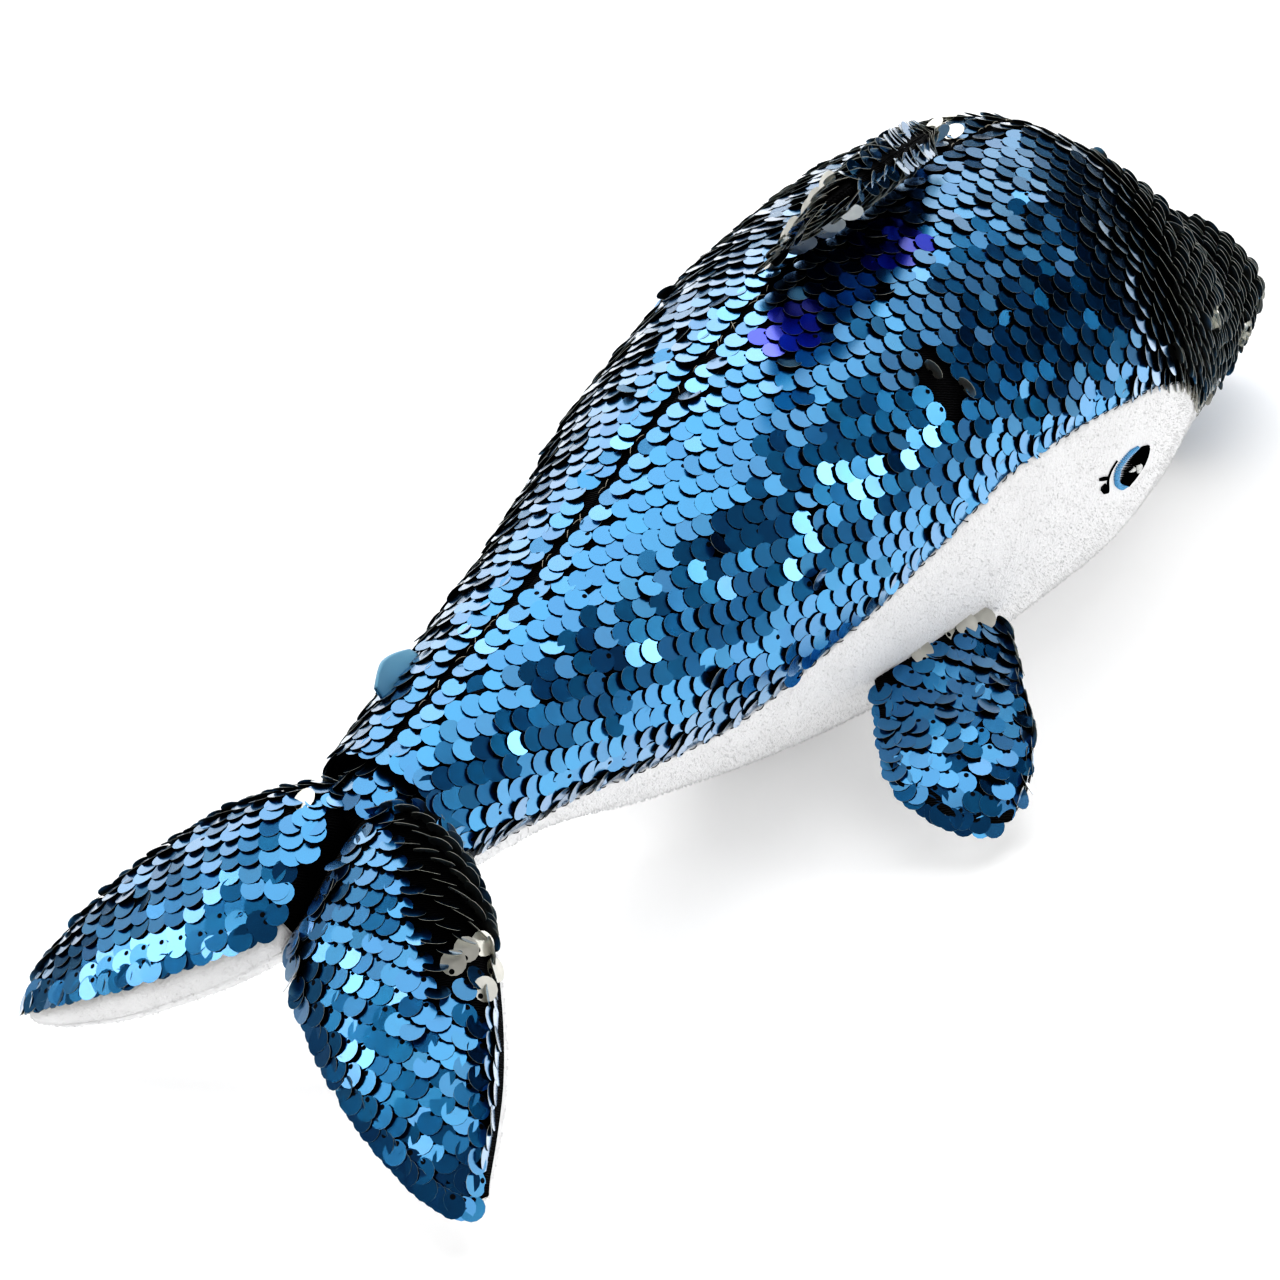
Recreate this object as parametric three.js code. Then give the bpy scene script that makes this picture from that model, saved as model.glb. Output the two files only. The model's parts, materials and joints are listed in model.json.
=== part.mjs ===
// A stuffed dolphin: a sewn cover of sequin cloth and plush panels over soft filling.
// Millimetres, +Z up, +X towards the beak, +Y towards the dolphin's left.
import * as THREE from 'three';

const { degToRad, radToDeg } = THREE.MathUtils;

// Cloth, thread and the room left between neighbours.
const coverThickness = 2;
const limbCoverThickness = 1.5;
const clearance = 0.3;
const backSeamWidth = 2;
const sideSeamWidth = 2;
const threadRadius = 0.5;
const limbEdgeThickness = 2.4;
const rootHemDepth = 1;
const rootHemThickness = 1.2;

// The body from the tail crease to the beak tip. The seam is where sequins meet plush,
// in degrees round from the line of the back.
const bodyStations = [
  { x: 0, halfWidth: 14.5, top: 63.5, middle: 48, bottom: 32.5, seam: 118 },
  { x: 24, halfWidth: 24, top: 71, middle: 49.5, bottom: 27, seam: 121 },
  { x: 61, halfWidth: 33, top: 82, middle: 51, bottom: 14, seam: 118 },
  { x: 107, halfWidth: 45.5, top: 98.5, middle: 54.5, bottom: 1, seam: 96 },
  { x: 153, halfWidth: 53.5, top: 108, middle: 57.5, bottom: -6, seam: 82 },
  { x: 190, halfWidth: 57, top: 109, middle: 59, bottom: -6, seam: 86 },
  { x: 217, halfWidth: 49, top: 105, middle: 57, bottom: -6, seam: 101 },
  { x: 239, halfWidth: 39.5, top: 97, middle: 52, bottom: -2, seam: 120 },
  { x: 257, halfWidth: 31, top: 73.5, middle: 42, bottom: 5, seam: 180 },
  { x: 272, halfWidth: 25.5, top: 60, middle: 36, bottom: 9, seam: 180 },
  { x: 286, halfWidth: 18.5, top: 51.5, middle: 32, bottom: 12, seam: 180 },
  { x: 298, halfWidth: 11.5, top: 37, middle: 25, bottom: 13, seam: 180 },
  { x: 303, halfWidth: 7, top: 29, middle: 22, bottom: 15, seam: 180 },
  { x: 306, halfWidth: 0, top: 21, middle: 21, bottom: 21, seam: 180 },
];
const chinX = 252;
const tailEndRounding = 6;
const bellyRoundness = 1.7;

// Flukes: a runs back along the centre seam, b outwards to the tip.
const flukeOutline = [
  { b: 1.2, lead: 1, trail: 38, thickness: 3, lift: 0 },
  { b: 8, lead: 1, trail: 44, thickness: 20, lift: 2 },
  { b: 16, lead: 3, trail: 50, thickness: 25, lift: 3 },
  { b: 26, lead: 7, trail: 57, thickness: 25, lift: 4 },
  { b: 38, lead: 16, trail: 63, thickness: 23, lift: 4 },
  { b: 48, lead: 27, trail: 66, thickness: 20, lift: 3.5 },
  { b: 57, lead: 40, trail: 67.5, thickness: 16, lift: 2.5 },
  { b: 63, lead: 51, trail: 67, thickness: 11, lift: 1.5 },
  { b: 66, lead: 58, trail: 64.5, thickness: 5, lift: 0 },
];
const flukeDroop = 22;
const flukeSideDroop = 12.5;
const centreSeamStart = 0.7;
const centreSeamLength = 34;

// Flippers: a runs forward along the root seam, b outwards to the tip.
const flipperOutline = [
  { b: 0, lead: 18.5, trail: -18.5, thickness: 2.6, lift: 0 },
  { b: 7, lead: 14.5, trail: -25.5, thickness: 6.5, lift: 0.5 },
  { b: 15, lead: 8.5, trail: -32, thickness: 10, lift: 1.5 },
  { b: 24, lead: 1, trail: -35, thickness: 10.5, lift: 1.5 },
  { b: 32, lead: -7, trail: -35, thickness: 9.5, lift: 1 },
  { b: 38, lead: -14.5, trail: -32, thickness: 7, lift: 0.5 },
  { b: 42, lead: -21.5, trail: -27.5, thickness: 4, lift: 0 },
];
const flipperX = 127.5;
const flipperRootAngle = 126;
const flipperDroop = 24;

// Dorsal fin: a runs forward along the back seam, b up to the tip.
const finOutline = [
  { b: 0, lead: 30, trail: -30, thickness: 2.6, lift: 0 },
  { b: 7, lead: 27, trail: -28, thickness: 5.5, lift: 0 },
  { b: 14, lead: 21.5, trail: -27, thickness: 8.5, lift: 0 },
  { b: 21, lead: 14, trail: -27.5, thickness: 9.5, lift: 0 },
  { b: 28, lead: 4, trail: -29.5, thickness: 9, lift: 0 },
  { b: 34, lead: -7, trail: -32, thickness: 7.5, lift: 0 },
  { b: 38, lead: -17, trail: -33.5, thickness: 5.5, lift: 0 },
  { b: 40, lead: -24, trail: -33, thickness: 4, lift: 0 },
];
const finX = 164;
const finLean = 48;

// Embroidered eyes, on the plush just under the side seam.
const eyeX = 182;
const eyeAngle = 104;
const eyeTilt = 5;
const stitchHeight = 0.9;
const eyeLength = 15;
const eyeHeight = 12.5;
const eyeRim = 1.1;
const irisBand = 1.2;
const highlightRadius = 0.9;
const highlightForward = 1.5;
const highlightUp = 1.1;
const lashLength = 6;
const lashWidth = 2.4;
const lashTurn = 24;

// Sewn-in satin label on the left flank.
const labelX = 27;
const labelAngle = 62;
const labelWidth = 16;
const labelLength = 8;
const labelThickness = 1.2;

const finishes = {
  sequin: { color: 0x2c6fae, roughness: 0.28, metalness: 0.85 },
  plush: { color: 0xe9e9ea, roughness: 0.95, metalness: 0 },
  filling: { color: 0xf4f3ef, roughness: 1, metalness: 0 },
  blackThread: { color: 0x121317, roughness: 0.8, metalness: 0 },
  whiteThread: { color: 0xf7f7f5, roughness: 0.7, metalness: 0 },
  blueThread: { color: 0x6db7e0, roughness: 0.7, metalness: 0 },
  label: { color: 0x6f9fce, roughness: 0.45, metalness: 0 },
};

const dolphin = new THREE.Group();
const right = -1;
const left = 1;
const nameOf = { [right]: 'right', [left]: 'left' };

function addMesh(parent, name, geometry, finish) {
  const mesh = new THREE.Mesh(geometry, new THREE.MeshStandardMaterial(finishes[finish]));
  mesh.name = name;
  parent.add(mesh);
}

// Collects triangles, welds equal corners and turns the finished solid faces outwards.
class Solid {
  constructor() {
    this.places = [];
    this.faces = [];
    this.known = new Map();
  }

  corner(point) {
    const key = point.toArray().map((value) => value.toFixed(4)).join(' ');
    if (!this.known.has(key)) {
      this.known.set(key, this.places.length);
      this.places.push(point);
    }
    return this.known.get(key);
  }

  triangle(a, b, c) {
    const face = [a, b, c].map((point) => this.corner(point));
    if (new Set(face).size === 3) this.faces.push(face);
  }

  // Quads between two rows, always split along the same diagonal, seen from either face.
  strip(first, second, flip = false) {
    for (let i = 0; i + 1 < first.length; i += 1) {
      const [a, b, c, d] = [first[i], first[i + 1], second[i + 1], second[i]];
      this.triangle(a, ...(flip ? [c, b] : [b, c]));
      this.triangle(a, ...(flip ? [d, c] : [c, d]));
    }
  }

  geometry() {
    const volume = this.faces.reduce((sum, [a, b, c]) => {
      const cross = this.places[b].clone().cross(this.places[c]);
      return sum + this.places[a].dot(cross);
    }, 0);
    const faces = volume < 0 ? this.faces.map(([a, b, c]) => [a, c, b]) : this.faces;
    const geometry = new THREE.BufferGeometry();
    geometry.setFromPoints(this.places);
    geometry.setIndex(faces.flat());
    geometry.computeVertexNormals();
    return geometry;
  }
}

// A sheet with two faces, each a grid of points with the same rows and columns.
function sheetSolid(outer, inner) {
  const solid = new Solid();
  const last = outer.length - 1;
  for (let i = 0; i < last; i += 1) {
    solid.strip(outer[i], outer[i + 1]);
    solid.strip(inner[i], inner[i + 1], true);
  }
  solid.strip(inner[0], outer[0]);
  solid.strip(outer[last], inner[last]);
  const edge = (grid, column) => grid.map((row) => row.at(column));
  solid.strip(edge(outer, 0), edge(inner, 0));
  solid.strip(edge(inner, -1), edge(outer, -1));
  return solid.geometry();
}

// A solid skinned over closed rings of points, with both ends filled in.
function ringSolid(rings) {
  const solid = new Solid();
  const closed = rings.map((ring) => [...ring, ring[0]]);
  for (let i = 0; i + 1 < closed.length; i += 1) solid.strip(closed[i], closed[i + 1]);
  const fan = (ring, flip) => {
    const centre = new THREE.Vector3();
    ring.forEach((point) => centre.addScaledVector(point, 1 / ring.length));
    ring.forEach((point, i) => {
      const next = ring[(i + 1) % ring.length];
      if (flip) solid.triangle(centre, point, next);
      else solid.triangle(centre, next, point);
    });
  };
  fan(rings[0], false);
  fan(rings.at(-1), true);
  return solid.geometry();
}

function spread(count, from, to) {
  return Array.from({ length: count + 1 }, (_, i) => THREE.MathUtils.lerp(from, to, i / count));
}

// Smooth line through the body stations that never swings past a station's own value.
function bodyLine(key) {
  const knots = bodyStations.map((station) => [station.x, station[key]]);
  const rise = (i) => (knots[i + 1][1] - knots[i][1]) / (knots[i + 1][0] - knots[i][0]);
  const slope = (i) => {
    if (i === 0) return rise(0);
    if (i === knots.length - 1) return rise(i - 1);
    const before = rise(i - 1);
    const after = rise(i);
    return before * after <= 0 ? 0 : (2 * before * after) / (before + after);
  };
  return (x) => {
    const after = knots.findIndex(([place]) => place >= x);
    const i = Math.max(after < 0 ? knots.length - 2 : after - 1, 0);
    const span = knots[i + 1][0] - knots[i][0];
    const t = (x - knots[i][0]) / span;
    const cubic = (2 * t - 3) * t * t;
    const start = (1 + cubic) * knots[i][1] + t * (1 - t) ** 2 * span * slope(i);
    return start - cubic * knots[i + 1][1] - t * t * (1 - t) * span * slope(i + 1);
  };
}

const halfWidthAt = bodyLine('halfWidth');
const topAt = bodyLine('top');
const middleAt = bodyLine('middle');
const bottomAt = bodyLine('bottom');
const seamAt = bodyLine('seam');
const beakTipX = bodyStations.at(-1).x;
const tailHinge = new THREE.Vector3(0, 0, bodyStations[0].middle);

// A point on the body at an angle round from the back, on one side. The belly rests flat.
function skin(x, angle, side) {
  const turn = degToRad(angle);
  const power = angle > 90 ? 2 / bellyRoundness : 1;
  const across = Math.max(Math.sin(turn), 0) ** power;
  const up = Math.sign(Math.cos(turn)) * Math.abs(Math.cos(turn)) ** power;
  const reach = angle > 90 ? middleAt(x) - bottomAt(x) : topAt(x) - middleAt(x);
  const y = side * (halfWidthAt(x) * across + backSeamWidth / 2);
  return new THREE.Vector3(x, y, Math.max(middleAt(x) + reach * up, 0));
}

// Which way the body's surface faces there, and which way it runs forward.
function skinFrame(x, angle, side) {
  const step = 0.25;
  const ahead = skin(Math.min(x + step, beakTipX), angle, side);
  const along = ahead.sub(skin(Math.max(x - step, 0), angle, side)).normalize();
  const low = skin(x, Math.min(angle + step, 180), side);
  const around = low.sub(skin(x, Math.max(angle - step, 0), side)).normalize();
  const normal = along.clone().cross(around).multiplyScalar(side).normalize();
  if (x >= beakTipX) normal.set(1, 0, 0);
  return { point: skin(x, angle, side), normal, along };
}

function skinPoint(x, angle, side, depth) {
  const { point, normal } = skinFrame(x, angle, side);
  return point.addScaledVector(normal, -depth);
}

const bellyRowCount = 13;
const beakRowCount = 8;
const beakRowCrowding = 1.4;
const backColumns = 9;
const bellyColumns = 5;
const bellyRows = spread(bellyRowCount, tailEndRounding, chinX);
const beakRows = spread(beakRowCount, 1, 0).map((rest) => {
  const start = chinX + sideSeamWidth;
  return beakTipX - (beakTipX - start) * rest ** beakRowCrowding;
});
const bodyRows = [...bellyRows, ...beakRows];

function seamTurn(x) {
  return radToDeg(sideSeamWidth / 2 / (halfWidthAt(x) + 1));
}

function backAngles(x) {
  return spread(backColumns, 0, x > chinX ? 180 : seamAt(x) - seamTurn(x));
}

function bellyAngles(x) {
  return spread(bellyColumns, x > chinX ? 180 : seamAt(x) + seamTurn(x), 180);
}

// Points run down the right side from the back and up the left side to it.
function halfRow(x, angles, side, depth) {
  const row = angles.map((angle) => skinPoint(x, angle, side, depth));
  return side === right ? row : row.reverse();
}

function backRow(x, side, depth) {
  return halfRow(x, backAngles(x), side, depth);
}

function bellyRow(x, depth) {
  const angles = bellyAngles(x);
  return [...halfRow(x, angles, right, depth), ...halfRow(x, angles, left, depth)];
}

function addBackPanel(side) {
  const grid = (depth) => bodyRows.map((x) => backRow(x, side, depth));
  const geometry = sheetSolid(grid(0), grid(coverThickness));
  addMesh(dolphin, `${nameOf[side]}_back_panel`, geometry, 'sequin');
}

function addBellyPanel() {
  const rows = [...bellyRows.slice(0, -1), chinX - sideSeamWidth];
  const grid = (depth) => rows.map((x) => bellyRow(x, depth));
  addMesh(dolphin, 'belly_panel', sheetSolid(grid(0), grid(coverThickness)), 'plush');
}

function addBodyFill() {
  const depth = coverThickness + clearance;
  const rings = bodyRows.map((x) => [
    ...backRow(x, right, depth), ...bellyRow(x, depth), ...backRow(x, left, depth),
  ]);
  const domeRings = 3;
  const dome = spread(domeRings, 0, 1).slice(0, -1).map((rest) => {
    const size = Math.sqrt(1 - (1 - rest) ** 2);
    return rings[0].map((point) => {
      const ring = point.clone().sub(tailHinge).multiplyScalar(size).add(tailHinge);
      return ring.setX(clearance + (tailEndRounding - clearance) * rest);
    });
  });
  addMesh(dolphin, 'body_fill', ringSolid([...dome, ...rings]), 'filling');
}

// A thread of five sides laid along points, held square to the surface under it.
function threadSolid(path) {
  const sides = 5;
  const rings = path.map(({ point, normal, along }) => {
    const across = along.clone().cross(normal).normalize();
    const upright = across.clone().cross(along).normalize();
    return spread(sides, 0, Math.PI * 2).slice(0, -1).map((turn) => point.clone()
      .addScaledVector(upright, threadRadius * (Math.cos(turn) - 1))
      .addScaledVector(across, threadRadius * Math.sin(turn)));
  });
  return ringSolid(rings);
}

function addSeamThreads() {
  const ridge = bodyRows.slice(0, -2).map((x) => {
    const frame = skinFrame(x, 0, right);
    frame.point.setY(0);
    return frame;
  });
  addMesh(dolphin, 'dorsal_seam_thread', threadSolid(ridge), 'blackThread');
  for (const side of [right, left]) {
    const frames = bellyRows.slice(0, -1).map((x) => skinFrame(x, seamAt(x), side));
    frames.forEach((frame, i) => {
      const from = frames[Math.max(i - 1, 0)].point;
      const to = frames[Math.min(i + 1, frames.length - 1)].point;
      frame.along = to.clone().sub(from).normalize();
    });
    const name = `${nameOf[side]}_side_seam_thread`;
    addMesh(dolphin, name, threadSolid(frames), 'blackThread');
  }
}

// A limb's own frame: a along its root seam, b outwards and n square to both.
function limbFrame(origin, along, outward) {
  const group = new THREE.Group();
  const a = along.clone().normalize();
  const b = outward.clone().addScaledVector(a, -outward.dot(a)).normalize();
  group.quaternion.setFromRotationMatrix(new THREE.Matrix4().makeBasis(a, b, a.clone().cross(b)));
  group.position.copy(origin);
  dolphin.add(group);
  return group;
}

const limbColumns = 8;
const limbFrontLean = 0.65;
const limbFullness = 0.6;
const limbChord = spread(limbColumns, 0, Math.PI).map((turn) => (1 - Math.cos(turn)) / 2);

// Half the limb's thickness across its chord: round in front, thin behind, never a knife edge.
function limbHalf(station, chord) {
  const swell = Math.max(Math.sin(Math.PI * chord ** limbFrontLean), 0) ** limbFullness;
  const edge = Math.min(limbEdgeThickness, station.thickness);
  return THREE.MathUtils.lerp(edge, station.thickness, swell) / 2;
}

// A point of a limb whose own n axis points up (1) or down (-1).
function limbPoint(station, chord, up, height) {
  const a = THREE.MathUtils.lerp(station.lead, station.trail, chord);
  return new THREE.Vector3(a, station.b, up * (station.lift + height));
}

// One sewn half of a limb's cover: its top (1) or its underside (-1).
function limbPanel(outline, up, face) {
  const grid = (height) => outline.map((station) => limbChord.map((chord) => {
    return limbPoint(station, chord, up, face * height(limbHalf(station, chord)));
  }));
  const inner = (half) => Math.max(half - limbCoverThickness, clearance / 2);
  return sheetSolid(grid((half) => half), grid(inner));
}

function limbFill(outline, up) {
  const stations = outline.slice(1, -1);
  const chords = limbChord.slice(2, -2);
  const grid = (face) => stations.map((station) => chords.map((chord) => {
    const height = limbHalf(station, chord) - limbCoverThickness - clearance;
    return limbPoint(station, chord, up, face * height);
  }));
  return sheetSolid(grid(1), grid(-1));
}

// The hem at a root is thin and lies round its hinge, so that it turns clear of the body.
function hemmed(outline) {
  const root = outline[0];
  return [{ ...root, b: root.b - rootHemDepth, thickness: rootHemThickness }, ...outline];
}

function addLimb(group, name, outline, up, panels, cover = outline) {
  panels.forEach(([panel, finish], i) => {
    const geometry = limbPanel(cover, up, i === 0 ? 1 : -1);
    addMesh(group, `${name}_${panel}_panel`, geometry, finish);
  });
  addMesh(group, `${name}_fill`, limbFill(outline, up), 'filling');
}

const topAndUnder = [['top', 'sequin'], ['under', 'plush']];

function addFlukes() {
  const slope = degToRad(flukeDroop);
  const back = new THREE.Vector3(-Math.cos(slope), 0, -Math.sin(slope));
  const down = new THREE.Vector3(Math.sin(slope), 0, -Math.cos(slope));
  for (const side of [right, left]) {
    const droop = degToRad(flukeSideDroop);
    const outward = new THREE.Vector3(0, side * Math.cos(droop), 0);
    outward.addScaledVector(down, Math.sin(droop));
    const group = limbFrame(tailHinge, back, outward);
    addLimb(group, `${nameOf[side]}_fluke`, flukeOutline, -side, topAndUnder);
  }
  const radius = flukeOutline[0].b - clearance;
  const cordSides = 12;
  const cord = new THREE.CylinderGeometry(radius, radius, centreSeamLength, cordSides);
  cord.rotateZ(Math.PI / 2);
  cord.translate(centreSeamStart + centreSeamLength / 2, 0, 0);
  const seam = limbFrame(tailHinge, back, new THREE.Vector3(0, left, 0));
  addMesh(seam, 'fluke_centre_seam', cord, 'blackThread');
}

function addFlippers() {
  for (const side of [right, left]) {
    const { point, normal, along } = skinFrame(flipperX, flipperRootAngle, side);
    const root = flipperOutline[0];
    const origin = point.addScaledVector(normal, root.thickness / 2 + clearance);
    const droop = degToRad(flipperDroop);
    const outward = new THREE.Vector3(0, side * Math.cos(droop), -Math.sin(droop));
    const group = limbFrame(origin, along, outward);
    const cover = hemmed(flipperOutline);
    addLimb(group, `${nameOf[side]}_flipper`, flipperOutline, side, topAndUnder, cover);
  }
}

function addDorsalFin() {
  const root = finOutline[0];
  const rear = new THREE.Vector3(finX + root.trail, 0, topAt(finX + root.trail));
  const front = new THREE.Vector3(finX + root.lead, 0, topAt(finX + root.lead));
  const along = front.clone().sub(rear);
  const rootSamples = 12;
  const bulges = spread(rootSamples, 0, 1).map((t) => {
    const chord = rear.clone().lerp(front, t);
    return topAt(chord.x) - chord.z;
  });
  const origin = rear.clone().lerp(front, -root.trail / (root.lead - root.trail));
  origin.z += Math.max(...bulges) + root.thickness / 2 + clearance;
  const lean = degToRad(finLean);
  const group = limbFrame(origin, along, new THREE.Vector3(0, -Math.sin(lean), Math.cos(lean)));
  const panels = [['right', 'sequin'], ['left', 'sequin']];
  addLimb(group, 'dorsal_fin', finOutline, 1, panels, hemmed(finOutline));
}

// A flat stitched patch: an outline with an optional hole, raised from the plush.
function stitchedPatch(shape, hole) {
  if (hole) shape.holes.push(hole);
  return new THREE.ExtrudeGeometry(shape, {
    depth: stitchHeight, bevelEnabled: false, curveSegments: 8,
  });
}

function oval(kind, length, height, x = 0, y = 0) {
  const shape = new kind();
  shape.absellipse(x, y, length / 2, height / 2, 0, Math.PI * 2);
  return shape;
}

function addEye(side) {
  const { point, normal, along } = skinFrame(eyeX, eyeAngle, side);
  const group = new THREE.Group();
  const upward = normal.clone().cross(along).multiplyScalar(-side);
  const forward = along.clone().multiplyScalar(Math.cos(degToRad(eyeTilt)));
  forward.addScaledVector(upward, Math.sin(degToRad(eyeTilt)));
  const across = normal.clone().cross(forward);
  const basis = new THREE.Matrix4().makeBasis(forward, across, normal);
  group.quaternion.setFromRotationMatrix(basis);
  group.position.copy(point).addScaledVector(normal, clearance);
  dolphin.add(group);
  const up = -side;
  const name = `${nameOf[side]}_eye`;
  const irisLength = eyeLength - 2 * (eyeRim + clearance);
  const irisHeight = eyeHeight - 2 * (eyeRim + clearance);
  const inset = 2 * irisBand;
  const pupilLength = irisLength - inset - 2 * clearance;
  const pupilHeight = irisHeight - inset - 2 * clearance;
  const rim = stitchedPatch(
    oval(THREE.Shape, eyeLength, eyeHeight),
    oval(THREE.Path, eyeLength - 2 * eyeRim, eyeHeight - 2 * eyeRim),
  );
  const iris = stitchedPatch(
    oval(THREE.Shape, irisLength, irisHeight),
    oval(THREE.Path, irisLength - inset, irisHeight - inset),
  );
  const glint = [highlightForward, up * highlightUp];
  const seat = 2 * (highlightRadius + clearance);
  const pupil = stitchedPatch(
    oval(THREE.Shape, pupilLength, pupilHeight),
    oval(THREE.Path, seat, seat, ...glint),
  );
  const size = 2 * highlightRadius;
  const highlight = stitchedPatch(oval(THREE.Shape, size, size, ...glint));
  const lash = stitchedPatch(oval(THREE.Shape, lashLength, lashWidth));
  const reach = (eyeLength + lashLength) / 2 + clearance;
  lash.translate(-reach, 0, 0);
  lash.rotateZ(up * degToRad(lashTurn));
  addMesh(group, `${name}_rim`, rim, 'blackThread');
  addMesh(group, `${name}_iris`, iris, 'blueThread');
  addMesh(group, `${name}_pupil`, pupil, 'blackThread');
  addMesh(group, `${name}_highlight`, highlight, 'whiteThread');
  addMesh(group, `${name}_lash`, lash, 'blackThread');
}

function addLabel() {
  const { point, normal, along } = skinFrame(labelX, labelAngle, left);
  const label = new THREE.BoxGeometry(labelWidth, labelLength, labelThickness);
  label.translate(0, labelLength / 2, 0);
  const origin = point.addScaledVector(normal, clearance);
  addMesh(limbFrame(origin, along, normal), 'sewn_label', label, 'label');
}

addBodyFill();
addBackPanel(right);
addBackPanel(left);
addBellyPanel();
addSeamThreads();
addFlukes();
addFlippers();
addDorsalFin();
addEye(right);
addEye(left);
addLabel();

// The origin lies under the middle of the whole toy, on the surface it rests on.
dolphin.updateMatrixWorld(true);
const box = new THREE.Box3().setFromObject(dolphin, true);
const middle = box.getCenter(new THREE.Vector3());
dolphin.position.set(-middle.x, -middle.y, -box.min.z);

export default dolphin;
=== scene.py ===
"""A stuffed dolphin in reversible sequin cloth and white plush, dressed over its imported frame.

Every length is in metres, in the frame's own axes: +X towards the beak, +Y to the dolphin's
left and +Z up. A surface is a grid of points: rows run along a piece and columns across it.
"""
import json
import logging
from dataclasses import dataclass, field, replace
from enum import Enum
from typing import Any

import bmesh
import bpy
import numpy as np
from bpy.types import ID, Material, Node, NodeSocket, Object
from mathutils import Matrix
from numpy import ndarray as Array
from numpy.random import Generator, default_rng


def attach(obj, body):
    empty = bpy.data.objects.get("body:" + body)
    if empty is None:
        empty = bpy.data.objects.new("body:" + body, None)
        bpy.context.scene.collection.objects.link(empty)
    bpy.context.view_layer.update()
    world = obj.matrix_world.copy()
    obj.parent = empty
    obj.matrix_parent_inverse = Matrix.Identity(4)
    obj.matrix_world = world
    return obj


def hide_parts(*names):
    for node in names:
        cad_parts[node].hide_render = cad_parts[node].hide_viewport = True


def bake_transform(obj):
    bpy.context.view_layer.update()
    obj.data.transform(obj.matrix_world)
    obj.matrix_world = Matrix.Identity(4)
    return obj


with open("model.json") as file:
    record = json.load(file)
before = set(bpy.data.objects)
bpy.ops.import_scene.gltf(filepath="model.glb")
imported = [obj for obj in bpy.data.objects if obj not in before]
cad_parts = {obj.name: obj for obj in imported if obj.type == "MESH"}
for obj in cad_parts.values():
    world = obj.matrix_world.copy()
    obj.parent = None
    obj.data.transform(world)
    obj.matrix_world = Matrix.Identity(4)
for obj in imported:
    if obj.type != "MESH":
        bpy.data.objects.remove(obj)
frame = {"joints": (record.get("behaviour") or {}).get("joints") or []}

LOG = logging.getLogger("dolphin")
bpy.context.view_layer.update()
MM = 0.001
SEED = 11
JOINTS = {joint["name"]: joint for joint in frame["joints"]}
Colour = tuple[float, float, float]
Pair = tuple[float, float]


class Side(Enum):
    """Which side of the dolphin a piece is on, as the sign of its Y."""

    RIGHT = -1
    LEFT = 1

    @property
    def word(self) -> str:
        """The side's name as the nodes spell it."""
        return self.name.lower()


class Face(Enum):
    """Which sewn half of a limb's cover: its top or its underside, or the fin's right or left."""

    TOP = 1
    UNDER = -1


def by_side(right: object, left: object) -> Any:
    """A class's field that holds one value for each side."""
    return field(default_factory=lambda: {Side.RIGHT: right, Side.LEFT: left})


def metres(*rows: object) -> Any:
    """A class's field that holds a table of millimetres as metres."""
    return field(default_factory=lambda: np.array(rows) * MM)


def joint_place(name: str) -> Array:
    """The point that a joint turns about."""
    return np.array(JOINTS[name]["pos_m"], float)


def joint_axis(name: str) -> Array:
    """The direction that a joint turns about, of length one."""
    return unit(np.array(JOINTS[name]["axis"], float))


def unit(vectors: Array) -> Array:
    """Each vector divided by its own length."""
    return vectors / np.maximum(np.linalg.norm(vectors, axis=-1, keepdims=True), 1e-12)


def ease(low: float, high: float, values: Array) -> Array:
    """Smooth step: 0 up to low, 1 from high on, and an S-shaped cubic between them."""
    share = np.clip((np.asarray(values, float) - low) / (high - low), 0, 1)
    return share * share * (3 - 2 * share)


def rotated(first: Array, second: Array, angle: Array | float) -> tuple[Array, Array]:
    """Two square directions turned in their own plane, from the first towards the second."""
    cosine, sine = np.cos(angle), np.sin(angle)
    return first * cosine + second * sine, second * cosine - first * sine


def shaded(colour: Colour, share: float) -> Colour:
    """A colour made darker or paler by a share."""
    return tuple(share * part for part in colour)


def direction_of(degrees: Pair) -> Array:
    """The direction that lies so many degrees round, from +X towards +Y, and so many up."""
    turn, rise = np.radians(degrees)
    return np.array([np.cos(turn) * np.cos(rise), np.sin(turn) * np.cos(rise), np.sin(rise)])


def put(name: str, data: ID) -> Object:
    """Puts a mesh, a lamp or a camera into the scene.

    Args:
        name: The new object's name.
        data: What it shows.

    Returns:
        The object, at the origin.
    """
    thing = bpy.data.objects.new(name, data)
    bpy.context.scene.collection.objects.link(thing)
    return thing


def smooth_line(places: Array, values: Array, at: Array) -> Array:
    """A curve through knots that never swings past a knot's own value.

    Between two knots it is a cubic Hermite curve. Each knot's slope is the harmonic mean of
    the rises before and after it, or nothing where they differ in sign.

    Args:
        places: The knots' places, rising.
        values: The knots' values.
        at: Where the curve is read.

    Returns:
        The curve's values, in the shape of at.
    """
    rise = np.diff(values) / np.diff(places)
    product = rise[:-1] * rise[1:]
    total = np.where(product > 0, rise[:-1] + rise[1:], 1)
    slope = np.concatenate([rise[:1], np.where(product > 0, 2 * product / total, 0), rise[-1:]])
    knot = np.clip(np.searchsorted(places, at) - 1, 0, len(places) - 2)
    span = places[knot + 1] - places[knot]
    share = (at - places[knot]) / span
    rest = 1 - share
    start = rest**2 * ((1 + 2 * share) * values[knot] + share * span * slope[knot])
    return start + share**2 * ((3 - 2 * share) * values[knot + 1] - rest * span * slope[knot + 1])


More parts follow.
